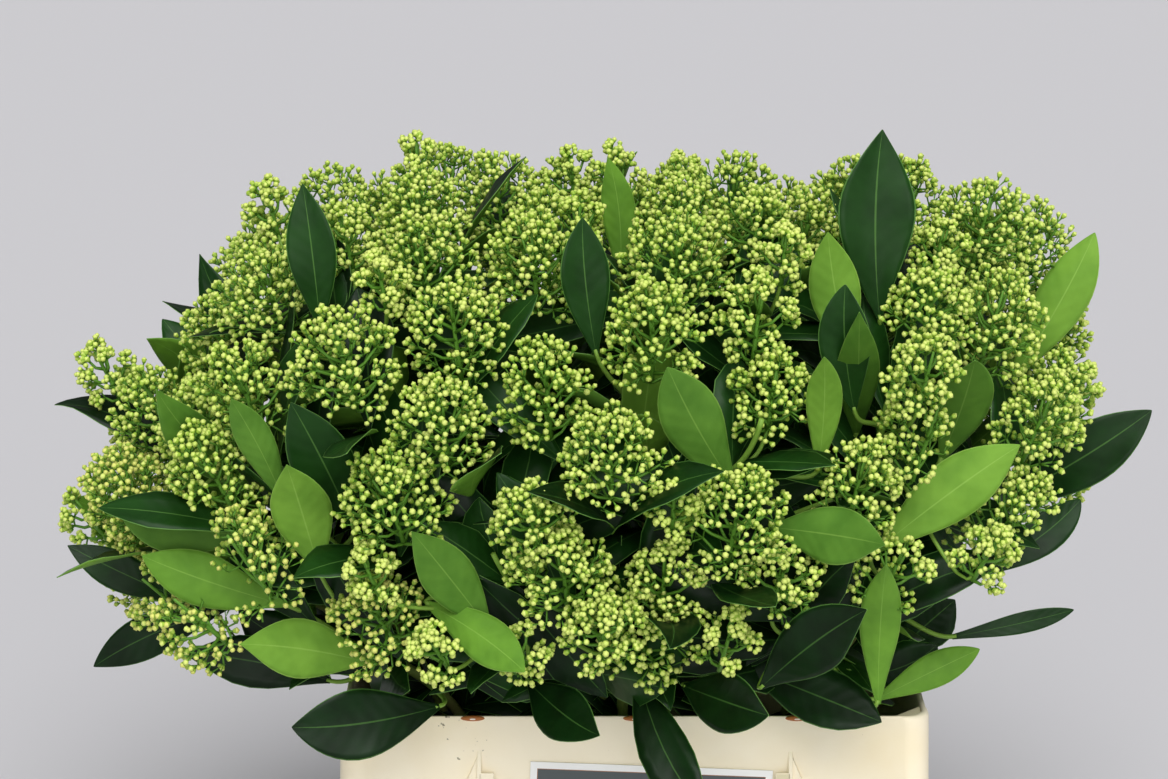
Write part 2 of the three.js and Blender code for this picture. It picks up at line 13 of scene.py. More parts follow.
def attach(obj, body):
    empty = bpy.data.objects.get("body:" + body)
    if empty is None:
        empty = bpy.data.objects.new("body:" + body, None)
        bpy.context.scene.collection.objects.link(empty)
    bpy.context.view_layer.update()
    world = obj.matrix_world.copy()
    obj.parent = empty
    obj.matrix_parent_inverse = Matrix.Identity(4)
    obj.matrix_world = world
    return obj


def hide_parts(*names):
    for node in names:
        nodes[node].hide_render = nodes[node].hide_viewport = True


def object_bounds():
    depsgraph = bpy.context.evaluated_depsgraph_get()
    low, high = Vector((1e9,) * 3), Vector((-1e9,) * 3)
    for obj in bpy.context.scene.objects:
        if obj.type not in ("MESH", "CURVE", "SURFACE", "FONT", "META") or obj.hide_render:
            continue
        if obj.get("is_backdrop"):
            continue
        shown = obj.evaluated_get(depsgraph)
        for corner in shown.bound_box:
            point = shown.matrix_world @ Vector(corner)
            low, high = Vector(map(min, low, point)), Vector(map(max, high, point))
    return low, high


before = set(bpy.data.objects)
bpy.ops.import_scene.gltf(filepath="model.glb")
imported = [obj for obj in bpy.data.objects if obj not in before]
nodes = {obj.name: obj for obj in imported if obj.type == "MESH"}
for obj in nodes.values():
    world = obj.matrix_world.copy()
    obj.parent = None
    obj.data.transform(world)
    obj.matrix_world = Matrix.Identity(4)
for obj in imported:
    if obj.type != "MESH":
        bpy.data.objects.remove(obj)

for name in ("Cube", "Light", "Camera"):  # Blender's own, in its start-up scene
    if name in bpy.data.objects:
        bpy.data.objects.remove(bpy.data.objects[name])
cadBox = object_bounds()
mm = 0.001  # the bunch is worked out in millimetres and made in metres
golden = 2.39996  # radians around, from one leaf, cluster or bud to the next
anyTurn = (0, 6.28)  # radians, the range of a random turn


# Materials

def hexToLinear(code):
    channels = [int(code[i:i + 2], 16) / 255 for i in (1, 3, 5)]
    return [c / 12.92 if c <= 0.04045 else ((c + 0.055) / 1.055) ** 2.4 for c in channels] + [1.0]


def addNode(tree, kind, settings=None, links=None):
    # settings: node properties, or input name or number -> value; links: input -> node, or node and output
    node = tree.nodes.new(kind)
    for key, value in (settings or {}).items():
        if isinstance(key, str) and hasattr(node, key):
            setattr(node, key, value)
        else:
            node.inputs[key].default_value = value
    for key, source in (links or {}).items():
        source, output = source if isinstance(source, tuple) else (source, 0)
        tree.links.new(source.outputs[output], node.inputs[key])
    return node


def addMath(tree, operation, *terms):
    # a Math node over numbers and nodes
    values = {i: term for i, term in enumerate(terms) if isinstance(term, float)}
    links = {i: term for i, term in enumerate(terms) if i not in values}
    return addNode(tree, "ShaderNodeMath", {"operation": operation, **values}, links)


def addNoise(tree, place, scale, detail, **more):
    return addNode(tree, "ShaderNodeTexNoise", {"Scale": scale, "Detail": detail, **more}, {"Vector": place})


def newMaterial(name, shader):
    # a Principled material with its constant values on the shader's own sockets
    material = bpy.data.materials.new(name)
    material.use_nodes = True
    for key, value in shader.items():
        material.node_tree.nodes["Principled BSDF"].inputs[key].default_value = value
    return material


def plainMaterial(name, roughness, colour, **more):
    return newMaterial(name, {"Roughness": roughness, "Base Color": hexToLinear(colour), **more})


def feed(material, key, node, output=0):
    tree = material.node_tree
    tree.links.new(node.outputs[output], tree.nodes["Principled BSDF"].inputs[key])


def mottle(material, low, high, size, detail=3.0, softness=(0.35, 0.65)):
    # base colour that wanders between two shades over blotches of a real size in metres
    tree = material.node_tree
    place = addNode(tree, "ShaderNodeTexCoord")
    noise = addNoise(tree, (place, "Object"), 1 / size, detail)
    ramp = addNode(tree, "ShaderNodeValToRGB", links={0: noise})
    for stop, position, colour in zip(ramp.color_ramp.elements, softness, (low, high)):
        stop.position, stop.color = position, hexToLinear(colour)
    feed(material, "Base Color", ramp)
    return ramp


def relief(material, height, depth, strength):
    settings = {"Strength": strength, "Distance": depth}
    feed(material, "Normal", addNode(material.node_tree, "ShaderNodeBump", settings, {"Height": height}))


# one shade for each third of the sprays, in blotches of two; the line is the midrib and margin
leafSkins = {
    "waxyLeafUpper": {
        "high": ["#0c290a", "#13360d", "#1c4313"], "low": ["#081d06", "#0d2809", "#15370e"],
        "line": ["#4a7534", "#54823a", "#5e8c42"], "roughness": 0.42, "coat": 0.03},
    "dullLeafUnderside": {
        "high": ["#6b9a32", "#78a53a", "#5d8a30"], "low": ["#5a872a", "#689531", "#4e7a28"],
        "line": ["#86b04c", "#94bd55", "#7fa749"], "roughness": 0.6, "coat": 0.0},
}
leafLines = {
    "rib": 0.009, "margin": 0.014,  # half width and width, of the blade's width
    "patch": 0.022,  # metres
    "veins": 9, "slant": 0.32, "deep": 0.00025,  # pairs along a blade, and metres
}
# the calyx and body are the buds' own greens; the paler top is partly the bud's own paler tip and partly a
# painted highlight
budSkin = {
    "calyx": ["#669630", "#70a036", "#749c3a"],
    "body": ["#9abb40", "#a4c248", "#a0bc48"],
    "top": ["#cbde6c", "#d6e478", "#d7da72"],
}


def leafMaterial(kind, third):
    # Skimmia leaf: a waxy skin. The upper side shines softly, the underside is dull. The midrib and the
    # thin margin are paler, and side veins lie a quarter of a millimetre deep.
    skin, rib, margin = leafSkins[kind], leafLines["rib"], leafLines["margin"]
    shader = {"Roughness": skin["roughness"], "Coat Weight": skin["coat"], "Coat Roughness": 0.25,
              "Specular IOR Level": 0.17}
    material = newMaterial(f"{kind}{third + 1}", shader)
    ramp = mottle(material, skin["low"][third], skin["high"][third], leafLines["patch"])
    tree = material.node_tree
    uv = addNode(tree, "ShaderNodeUVMap", {"uv_map": "blade"})
    parts = addNode(tree, "ShaderNodeSeparateXYZ", links={0: uv})
    aside = addMath(tree, "ABSOLUTE", addMath(tree, "SUBTRACT", (parts, "X"), 0.5))
    ribLine = {"From Min": rib, "From Max": rib * 1.8, "To Min": 0.5, "To Max": 0.0}
    edgeLine = {"From Min": 0.5 - margin * 1.5, "From Max": 0.5 - margin, "To Max": 0.75}
    lines = [addNode(tree, "ShaderNodeMapRange", line, {"Value": aside}) for line in (ribLine, edgeLine)]
    lines = addMath(tree, "MAXIMUM", *lines)
    settings = {"data_type": "RGBA", 7: hexToLinear(skin["line"][third])}
    feed(material, "Base Color", addNode(tree, "ShaderNodeMix", settings, {0: lines, 6: ramp}), 2)
    slant = addMath(tree, "MULTIPLY", aside, leafLines["slant"])
    run = addMath(tree, "SUBTRACT", (parts, "Y"), slant)
    beat = addMath(tree, "MULTIPLY", run, 2 * math.pi * leafLines["veins"])
    relief(material, addMath(tree, "SINE", beat), leafLines["deep"], 0.22)
    return material


def plainPlant(name, colour, roughness):
    # thin waxy plant tissue too small to carry a pattern of its own
    return plainMaterial(name, roughness, colour, **{"Specular IOR Level": 0.3})


leafMaterials = [leafMaterial(kind, third) for kind in leafSkins for third in range(3)]
leafMaterials.append(plainPlant("paleLeafEdge", "#6c9a47", 0.45))
budMaterials = [plainPlant(f"{part}OfBud{i + 1}", budSkin[part][i], 0.45)
                for i in range(3) for part in budSkin]
twigMaterials = [plainPlant("panicleStalk", "#5f922e", 0.5), plainPlant("youngShoot", "#7fa63f", 0.5)]
print("materials of the plant made")


# The rule that the bunch grows by, the same as the solids'

crown = {"left": 398, "right": 342, "front": 270, "back": 250, "centreZ": 312, "rise": 298, "shoulders": 3.2,
         "focus": (262, 215), "sag": 8, "rightLift": 125}
middle = array([0, 0, crown["centreZ"]])
# name, sprays, tilt and turn in degrees
tiers = [("low", 10, 83, 6), ("middle", 8, 60, -10), ("high", 7, 36, 20), ("top", 3, 11, 50)]
headsPerSpray = {"front": 4, "back": 3}
headRule = {"radius": 41, "height": 76, "spacing": (82, 98), "depthJitter": 20, "besideLeaf": 30}
shootRule = {"whorl": 90, "fork": 165, "end": 0.8, "radius": 2.3, "tipRadius": 1.8}
stubRule = {"length": 29, "radius": 4.2, "tipRadius": 3.4, "firstShoot": 5, "betweenShoots": 6}
stemRule = {"radii": (4.6, 3.6), "footZ": 6.5, "footSpread": (128, 86), "neckSpread": (160, 112),
            "neckZ": 238, "bucketHeight": 250}
leafRule = {"length": 104, "width": 43, "arch": 0.02, "fold": 0.15, "perHead": 3, "turn": 6.283,
            "lean": (34, 64), "lastLean": (58, 84), "setBack": 34, "stretch": 1.25, "tries": 6}

# large leaves that stand out of the bunch: tip, the way it points, length, width, side shown to the front
standoutLeaves = [
    ((161, -85, 635), (0, 0.1, 1), 125, 58, 1), ((-214, -135, 609), (-0.1, 0, 1), 95, 36, 1),
    ((-35, -150, 590), (-0.1, 0, 1), 90, 36, 1), ((-18, -30, 606), (-0.1, 0, 1), 85, 26, -1),
    ((313, -20, 552), (0.4, 0.2, 1), 90, 40, -1), ((124, -120, 574), (-0.2, 0, 1), 90, 38, -1),
    ((132, -170, 551), (-0.1, -0.2, 1), 90, 38, 1), ((139, -195, 539), (-0.3, -0.4, 1), 90, 32, -1),
    ((116, -215, 515), (0, -0.4, 1), 90, 26, -1), ((18, -225, 511), (-0.5, -0.4, 1), 105, 44, -1),
    ((218, -150, 496), (0.2, -0.5, 1), 90, 42, -1), ((245, -180, 448), (1, 0.1, 0.7), 115, 44, -1),
    ((152, -265, 408), (1, -0.8, 0.1), 90, 42, -1), ((350, -60, 438), (1, 0, 0.8), 100, 46, 1),
    ((301, -80, 381), (1, 0.4, 0.6), 90, 30, 1), ((298, -90, 306), (1, 0.1, 0.2), 85, 16, 1),
    ((230, -130, 292), (1, 0.2, 0.7), 85, 26, -1), ((157, -225, 382), (0, -0.3, 1), 110, 30, -1),
    ((142, -262, 365), (0.9, -0.7, 1), 105, 46, 1), ((82, -262, 295), (0.7, -1, 0.1), 90, 44, 1),
    ((-24, -258, 280), (0.6, -1, -0.1), 90, 40, 1), ((-221, -225, 273), (-1, -0.4, 0), 100, 52, 1),
    ((-255, -205, 322), (-1, -0.4, 0.3), 90, 44, -1), ((-371, -70, 258), (-1, 0, -0.7), 90, 34, 1),
    ((-387, -60, 342), (-1, 0, 0.5), 90, 30, 1), ((-338, -140, 389), (-1, -0.1, 0.2), 90, 40, -1),
    ((-322, -160, 367), (-1, -0.1, 0.4), 100, 40, -1), ((-257, -195, 482), (-0.4, -0.3, 1), 85, 26, -1),
    ((-221, -215, 445), (-0.2, -0.4, 1), 90, 44, -1), ((-220, -190, 479), (-0.4, -0.3, 1), 100, 46, 1),
    ((-141, -250, 412), (-0.6, -0.5, 1), 100, 38, -1), ((-71, -265, 325), (1, -0.9, -0.4), 90, 34, -1),
]

# dark leaves behind the low heads, which the solids do without
backdropLeaves = [
    ((-303, -110, 281), (-1, 0, 0.2), 100, 40, 1), ((-268, -90, 306), (-0.8, 0, 0.4), 95, 42, 1),
    ((221, -60, 303), (0.6, 0, 0.8), 70, 40, 1), ((205, -100, 285), (0.7, 0, 0.5), 62, 38, 1),
]


def chance(spray, item, trait):
    # a repeatable number from 0 to 1 for one trait of one item of one spray
    def times(a, b):
        return (a * b) & 0xFFFFFFFF
    h = times(spray + 1, 0x9E3779B1) ^ times(item + 1, 0x85EBCA6B) ^ times(trait + 1, 0xC2B2AE35)
    h = times(h ^ (h >> 15), 0x2C1B3C6D)
    h = times(h ^ (h >> 12), 0x297A2D39)
    return (h ^ (h >> 15)) / 4294967296


def between(low, high, share):
    return low + (high - low) * share


def unit(v):
    return v / norm(v)


def units(v):
    return v / norm(v, axis=-1, keepdims=True)


def sidesOf(direction):
    across = np.cross(direction, (0, 0, 1))
    if norm(across) < 0.05:
        across = np.cross(direction, (0, 1, 0))
    across = unit(across)
    return across, unit(np.cross(across, direction))


def outwardOf(axis, turn):
    # the way square to an axis, at a turn around it
    across, above = sidesOf(axis)
    return across * math.cos(turn) + above * math.sin(turn)


def leaning(axis, turn, lean):
    return axis * math.cos(lean) + outwardOf(axis, turn) * math.sin(lean)


def crownSides(x, y):
    return crown["left" if x < 0 else "right"], crown["front" if y < 0 else "back"]


def onDome(x, y, z):
    # the point of the dome that lies in a direction from its centre
    p, (wide, deep) = crown["shoulders"], crownSides(x, y)
    size = ((abs(x) / wide) ** p + (abs(y) / deep) ** p + (abs(z) / crown["rise"]) ** p) ** (-1 / p)
    return [x * size, y * size, z * size + crown["centreZ"]]


def lowestAt(x):
    # how far over the dome's centre the lowest head stands
    return crown["sag"] + crown["rightLift"] * max(0, x / crown["right"]) ** 1.5


def axisAt(place):
    # the way that a head on the dome faces
    lift = (place[2] - crown["centreZ"]) / crown["rise"]
    return unit(place - array([place[0] * 0.4, place[1] * 0.4, between(*crown["focus"], lift)]))


def firstHeads():
    heads, number = [], 0
    for name, sprays, tierTilt, tierTurn in tiers:
        for i in range(sprays):
            around = math.radians(tierTurn + 360 * (i + 0.3 * chance(number, 0, 1)) / sprays)
            tilt = math.radians(tierTilt + between(-4, 4, chance(number, 0, 2)))
            towards = unit(array([math.sin(tilt) * math.cos(around) * crown["left"],
                                  math.sin(tilt) * math.sin(around) * crown["front"],
                                  math.cos(tilt) * crown["rise"]]))
            count = headsPerSpray["front" if math.sin(around) < 0.2 else "back"]
            for k in range(count):
                angle = 2 * math.pi * (k + chance(number, 0, 3)) / count
                place = onDome(*(towards + outwardOf(towards, angle) * 0.14))
                heads.append({"spray": number, "order": k, "place": place})
            number += 1
    return heads


def pushApart(places):
    # every head makes room for the others, and for the lines of the stand-out leaves
    near, far = headRule["spacing"]
    lines = []
    for tip, toward, length, width, shows in standoutLeaves:
        tip = array(tip, float)
        foot = tip - unit(array(toward, float)) * length
        lines.append((foot.tolist(), (tip - foot).tolist(), headRule["besideLeaf"] + width / 2))
    for turn in range(60):
        for i, a in enumerate(places):
            for b in places[i + 1:]:
                apart = [b[k] - a[k] for k in range(3)]
                squared = apart[0] * apart[0] + apart[1] * apart[1] + apart[2] * apart[2]
                if squared >= far * far:
                    continue
                depth = ((a[1] + b[1]) / 2 + crown["front"]) / (crown["front"] + crown["back"])
                distance = math.sqrt(squared)
                short = between(near, far, min(1, max(0, depth))) - distance
                if short <= 0:
                    continue
                push = short / 2 / distance
                for k, d in enumerate(apart):
                    a[k] -= d * push
                    b[k] += d * push
            inward = [a[0], a[1], a[2] - crown["centreZ"]]
            reach = -headRule["height"] / 2 / math.sqrt(sum(c * c for c in inward))
            inward = [c * reach for c in inward]
            for foot, run, room in lines:
                inside = [a[k] + inward[k] for k in range(3)]
                share = sum((inside[k] - foot[k]) * run[k] for k in range(3)) / sum(c * c for c in run)
                share = min(1, max(0, share))
                aside = [inside[k] - (foot[k] + run[k] * share) for k in range(3)]
                distance = math.sqrt(sum(c * c for c in aside))
                if distance < room:
                    for k in range(3):
                        a[k] += aside[k] * (room - distance) / distance
        for a in places:
            a[:] = onDome(a[0], a[1], max(a[2] - crown["centreZ"], lowestAt(a[0])))


def planSprays():
    heads = firstHeads()
    pushApart([each["place"] for each in heads])
    for each in heads:
        s, k, place = each["spray"], each["order"], array(each["place"])
        each["axis"] = axisAt(place)
        each["place"] = place - each["axis"] * headRule["depthJitter"] * chance(s, k, 4)
        each["radius"] = headRule["radius"] * between(0.9, 1.05, chance(s, k, 5))
        each["height"] = headRule["height"] * between(0.92, 1.08, chance(s, k, 6))
    sprays = []
    for name, count, tilt, turn in tiers:
        for i in range(count):
            number, label = len(sprays), f"{name}_{i + 1:02d}"
            own = [each for each in heads if each["spray"] == number]
            axis = unit(sum(each["axis"] for each in own))
            fork = sum(each["place"] for each in own) / len(own) - axis * shootRule["fork"]
            sprays.append({"number": number, "tier": name, "stem": f"stem_{label}", "skin": f"spray_{label}",
                           "heads": own, "axis": axis, "fork": fork})
    return sprays


class Path:
    # a smooth curve through four guide points, measured along its length
    def __init__(self, *guides):
        self.guides = [array(g, float) for g in guides]
        self.knots = linspace(0, 1, 201)
        steps = norm(np.diff(self.point(self.knots), axis=0), axis=1)
        self.reach = concatenate([[0], np.cumsum(steps)])
        self.length = self.reach[-1]

    def point(self, t):
        t = np.atleast_1d(t)[:, None]
        a, b, c, d = self.guides
        return (1 - t) ** 3 * a + 3 * (1 - t) ** 2 * t * b + 3 * (1 - t) * t ** 2 * c + t ** 3 * d

    def at(self, share):
        # the points at shares of the length
        return self.point(np.interp(np.atleast_1d(share) * self.length, self.reach, self.knots))

    def back(self, distance):
        # the point that lies a distance back from the end
        return self.at(1 - distance / self.length)[0]


def stemPath(spray, aside):
    fork = spray["fork"]
    wide, deep = crownSides(*fork[:2])

    def spread(reach, z, share):
        return array([reach[0] * (fork[0] / wide) * share, reach[1] * (fork[1] / deep) * share, z])
    foot = spread(stemRule["footSpread"], stemRule["footZ"], 1.3) + aside
    low = spread(stemRule["neckSpread"], stemRule["bucketHeight"] * 0.55, 1.1) + aside
    neck = spread(stemRule["neckSpread"], stemRule["neckZ"], 1.3)
    neck = neck + (fork - spray["axis"] * 60 - neck) * 0.35 + aside * 0.5
    return Path(foot, low, neck, fork)


def shootPath(each, spray):
    def under(depth):
        return each["place"] - each["axis"] * depth
    up = stubRule["firstShoot"] + stubRule["betweenShoots"] * each["order"]
    start = spray["fork"] + spray["heading"] * up
    elbow = under(shootRule["whorl"] + 30)
    return Path(start, start + (elbow - start) * 0.5, elbow, under(shootRule["end"] * each["height"]))


def onShoot(each, back):
    # where the solids' straight-stepped shoot has a leaf's foot
    rings = each["path"].at([0, 0.5, 1])
    last = norm(rings[2] - rings[1])
    if back <= last:
        return rings[2] + (rings[1] - rings[2]) * back / last
    return rings[1] + (rings[0] - rings[1]) * (back - last) / norm(rings[1] - rings[0])


def whorlBack(height):
    # how far back from the end of its shoot the leaves under a head stand
    return shootRule["whorl"] - shootRule["end"] * height


def leafUnder(each, item, attempt):
    s, k, axis = each["spray"], each["order"], each["axis"]
    key = 10 + k * 20 + item
    isLast = item == leafRule["perHead"] - 1
    turn = leafRule["turn"] * chance(s, k, 8) + between(-0.25, 0.25, chance(s, key, 1))
    turn += golden * item + 0.9 * attempt
    leans = leafRule["lastLean" if isLast else "lean"]
    lean = math.radians(between(*leans, chance(s, key, 2 + 10 * attempt)))
    length = leafRule["length"] * between(0.8, 1.12, chance(s, key, 3)) * (1 - 0.05 * attempt)
    back = whorlBack(each["height"]) + (leafRule["setBack"] if isLast else 5 * item)
    foot = onShoot(each, back)
    return {"base": foot, "tip": foot + leaning(axis, turn, lean) * length, "face": axis,
            "width": leafRule["width"] * between(0.84, 1.12, chance(s, key, 5)), "spray": s,
            "holds": (each, back), "kind": "whorl"}


def shoulders(b):
    # the four corners at a solid blade's sides
    run = b["tip"] - b["base"]
    length = norm(run)
    across = unit(np.cross(run, b["face"]))
    upper = unit(np.cross(across, run))
    corners = []
    for share, side in ((0.34, 0.36), (0.66, 0.5), (0.66, -0.5), (0.34, -0.36)):
        lift = 4 * leafRule["arch"] * length * share * (1 - share)
        lift += leafRule["fold"] * b["width"] * abs(side)
        corners.append(b["base"] + run * share + across * side * b["width"] + upper * lift)
    return corners


blade = {
    "thickness": 0.8,
    "petiole": 1.5,  # half width of the leaf stalk
    "fold": (0.06, 0.26),  # rise of the edges over the midrib, of the half width
    "arch": (0.01, 0.05),  # how far the blade bows, of its length
    "twist": 0.4,  # radians from foot to tip, either way
    "widest": (1.0, 1.3),  # 1 puts the widest part in the middle, more puts it nearer the tip
    "blunt": (1.12, 0.8),  # 1 is a pointed ellipse, less is blunter
    "waves": 2.3, "wave": 0.05,
    "slim": 0.87,  # the leaves are drawn this much narrower than the solids' few
}


# Which stems, heads and leaves found room is read off the solids

depsgraph = bpy.context.evaluated_depsgraph_get()
surfaces = {name: BVHTree.FromObject(node, depsgraph) for name, node in nodes.items()}
touch = 0.15  # millimetres between a planned corner and the skin that it made


def offSurface(spray, point):
    # distance in millimetres from a point to the skin of a spray's solid
    return surfaces[spray["skin"]].find_nearest(Vector(point * mm))[3] / mm


def findStem(spray):
    # the stem stepped aside until it had room: take the step whose middle is the solid's middle
    skin = array([v.co for v in nodes[spray["stem"]].data.vertices]) / mm
    best = None
    for attempt in range(40):
        turn = attempt * 2.4
        path = stemPath(spray, array([math.cos(turn), math.sin(turn), 0]) * attempt * 1.2)
        miss = 0
        for ring in path.at([0.25, 0.5, 0.75]):
            nearest = np.argsort(norm(skin - ring, axis=1))[:25]
            corners = np.unique(skin[nearest].round(2), axis=0)
            corners = corners[np.argsort(norm(corners - ring, axis=1))[:5]]
            miss += norm(corners.mean(0) - ring)
        if best is None or miss < best[0]:
            best = (miss, path)
    return best[1]


def readBunch():
    sprays = planSprays()
    for spray in sprays:
        spray["path"] = findStem(spray)
        end = spray["path"].point([0.9999, 1])
        spray["heading"] = unit(end[1] - end[0])
        spray["allShoots"], spray["heads"] = spray["heads"], []
        for each in spray["allShoots"]:
            each["path"] = shootPath(each, spray)
            each["hasShoot"] = offSurface(spray, each["path"].back(3)) < 6
            if offSurface(spray, each["place"]) < touch:
                widest = each["place"] - each["axis"] * each["height"] * 0.57
                each["size"] = min(1.0, offSurface(spray, widest) / (0.77 * each["radius"]))
                spray["heads"].append(each)
    return sprays


def readLeaf(each, spray, item):
    # the first try at a whorl leaf whose tip and two or more corners lie on the solid's skin
    for attempt in range(leafRule["tries"]):
        b = leafUnder(each, item, attempt)
        met = [corner for corner in shoulders(b) if offSurface(spray, corner) < touch]
        if offSurface(spray, b["tip"]) <= touch and len(met) >= 2:
            return [b]
    return []


def readLeaves():
    blades = []
    for spray in sprays:
        for each in spray["heads"]:
            for item in range(leafRule["perHead"]):
                blades += readLeaf(each, spray, item)
    whorl, feet = whorlBack(headRule["height"]), []
    for spray in sprays:
        for each in spray["allShoots"]:
            feet += [(spray, onShoot(each, whorl + back)) for back in (0, 14, 28)]
        feet.append((spray, spray["fork"] + spray["heading"] * (stubRule["length"] - 5)))
    for number, (tip, toward, length, width, shows) in enumerate(standoutLeaves + backdropLeaves):
        tip, best = array(tip, float), None
        kind = "standout" if number < len(standoutLeaves) else "backdrop"
        owners = [spray["number"] for spray in sprays if offSurface(spray, tip) < touch]
        for spray, base in feet:
            away = norm(base - tip)
            if owners and (spray["number"] not in owners or away > leafRule["stretch"] * length):
                continue
            b = {"base": base, "tip": tip, "width": width, "face": array([0, -shows, 0.35 * shows]),
                 "spray": spray["number"], "kind": kind, "points": unit(array(toward, float)),
                 "length": length}
            # a leaf that found no room among the solids grows here from the nearest shoot
            miss = sum(offSurface(spray, c) for c in shoulders(b)) if owners else away
            if best is None or miss < best[0]:
                best = (miss, b)
        if best:
            blades.append(best[1])
    return blades


sideTwig = {"longest": 110, "radii": (1.9, 1.5), "lowest": 262}  # the lowest foot clears the rim


def mainShoots(spray):
    # its shoots that carry a head of the solids'
    return [each for each in spray["allShoots"]
            if each["hasShoot"] and "thin" not in each and "bare" not in each]


def twigStart(b, foot):
    # the point of a spray's limbs from which a twig runs on best into a leaf
    spray = sprays[b["spray"]]
    limbs = [each["path"].at(linspace(0, 0.75, 10)) for each in mainShoots(spray)]
    starts = concatenate(limbs + [spray["path"].at(linspace(0.6, 1, 12))])
    runs = foot - starts
    lengths = norm(runs, axis=1)
    return starts[np.argmin(lengths * (1.6 - runs @ b["points"] / lengths))]


def setFeet(blades):
    # the leaves stand on the shoots as these are drawn, a large one on a side twig of its own
    for b in blades:
        if "points" in b:
            foot = b["tip"] - b["points"] * b["length"]
            foot[2] = max(foot[2], sideTwig["lowest"])
            b["twigFoot"] = twigStart(b, foot)
            run = foot - b["twigFoot"]
            b["foot"] = b["twigFoot"] + run * min(1, sideTwig["longest"] / norm(run))
        else:
            each, back = b["holds"]
            b["foot"] = each["path"].back(max(back, each.get("bare", 0) + 2))


def midrib(b, shares):
    # a blade leaves its foot straight and bends to the way that its tip points
    run = b["tip"] - b["foot"]
    length = norm(run)
    key = int(abs(b["tip"][0] * 5) + abs(b["tip"][2] * 11))
    bend = array([between(-0.3, 0.3, chance(b["spray"], key, trait)) for trait in (40, 41, 42)])
    if "points" in b:
        points = b["points"] + run / length * max(0, 0.85 - b["points"] @ run / length) * 1.5 + bend * 0.7
    else:
        points = run / length + bend
    guide = b["tip"] - unit(points) * length * 0.45
    t = np.atleast_1d(shares)[:, None]
    spine = (1 - t) ** 2 * b["foot"] + 2 * t * (1 - t) * guide + t ** 2 * b["tip"]
    return spine, units((1 - t) * (guide - b["foot"]) + t * (b["tip"] - guide))


def outlineOf(b, shares):
    pick = chance(b["spray"], int(abs(b["tip"][0] * 3) + abs(b["tip"][2] * 7)), 50)
    return np.sin(math.pi * shares ** between(*blade["widest"], pick)) ** between(*blade["blunt"], pick)


sprays = readBunch()
blades = readLeaves()
largeLeaves = [b for b in blades if b["kind"] == "standout"]
solidHeads = sum(len(spray["heads"]) for spray in sprays)
print("bunch read:", len(sprays), "stems,", solidHeads, "heads,", len(blades), "leaves")


# The solids' heads are eased into the bunch's real outline, and their panicles stand more upright

easing = {
    "upright": 0.42,  # how far a panicle turns from the head's axis to the vertical
    "jitter": 22,  # millimetres that a head can sink at random
    "front": -150,  # the heads before it stand over the front rim, their middles no lower than the floor
    "frontFloor": 328,
    # where the bunch falls short of the dome: x and z, reach, depth
    "dents": [((-330, 525), 80, 38), ((330, 345), 72, 34), ((272, 375), 40, 20), ((-352, 300), 50, 14)],
}


def middlesOf(each):
    return each["place"] - each["axis"] * each["height"] * 0.5


def dentAt(place):
    return sum(depth * math.exp(-((place[0] - x) ** 2 + (place[2] - z) ** 2) / reach ** 2)
               for (x, z), reach, depth in easing["dents"])


def standUp(each):
    if each["place"][1] < easing["front"]:
        each["place"] = each["place"] + array([0, 0, max(0, easing["frontFloor"] - middlesOf(each)[2])])
    each["stands"] = unit(each["axis"] * (1 - easing["upright"]) + array([0, 0, easing["upright"]]))
    each["foot"] = middlesOf(each) - each["stands"] * each["height"] * 0.5
    end = each["foot"] + each["stands"] * each["height"] * 0.2
    each["path"] = Path(*each["path"].guides[:2], end - each["stands"] * 34, end)


for spray in sprays:
    for each in spray["heads"]:
        sink = dentAt(each["place"]) + easing["jitter"] * chance(each["spray"], each["order"], 30) ** 2
        each["place"] = each["place"] - each["axis"] * sink
        standUp(each)
setFeet(blades)


# Side panicles, from the same shoots, fill the gaps that the solids leave between the heads

sideHeads = {"spots": 2600, "depth": 12, "middle": 36,  # millimetres in from the dome, and from the top
             "most": 60, "open": 90.0, "least": 18, "widest": 38,  # room that counts, is needed, is filled
             "ownHead": 0.95, "ownLeaf": 0.75, "leafPart": 0.85,  # of a head, a large leaf, and its length
             "thin": 0.75,  # of a shoot's radius
             # tops and sizes of some: they stand out of the outline, and the last four fill the low front
             "placed": [((248, -30, 587), 0.92), ((284, 4, 563), 0.92), ((-383, 0, 466), 0.55),
                        ((-401, -21, 359), 0.5), ((-257, 0, 585), 0.5), ((-152, 0, 618), 0.45),
                        ((-71, -258, 435), 0.7), ((-24, -263, 359), 0.65), ((103, -242, 382), 0.7),
                        ((91, -193, 506), 0.7)]}


def growSideHead(place, axis, size, order):
    mothers = [(spray, mother) for spray in sprays for mother in mainShoots(spray)]
    spray, mother = min(mothers, key=lambda pair: norm(pair[1]["path"].back(45) - place))
    each = {"spray": spray["number"], "order": 20 + order, "place": place, "axis": axis, "size": size,
            "radius": headRule["radius"], "height": headRule["height"] * (0.35 + 0.6 * size),
            "hasShoot": True, "thin": sideHeads["thin"]}
    start, end = mother["path"].back(75), place - axis * each["height"] * 0.8
    each["path"] = Path(start, start + (mother["path"].back(50) - start) * 1.2, end - axis * 22, end)
    standUp(each)
    spray["heads"].append(each)
    spray["allShoots"].append(each)


def spiral(count, depth):
    # points spread evenly over the dome, from its top down
    for k in range(count):
        z = 1 - depth * (k + 0.5) / count
        flat, turn = math.sqrt(1 - z * z), golden * k
        yield array([flat * math.cos(turn) * crown["left"], flat * math.sin(turn) * crown["front"],
                     z * crown["rise"]])


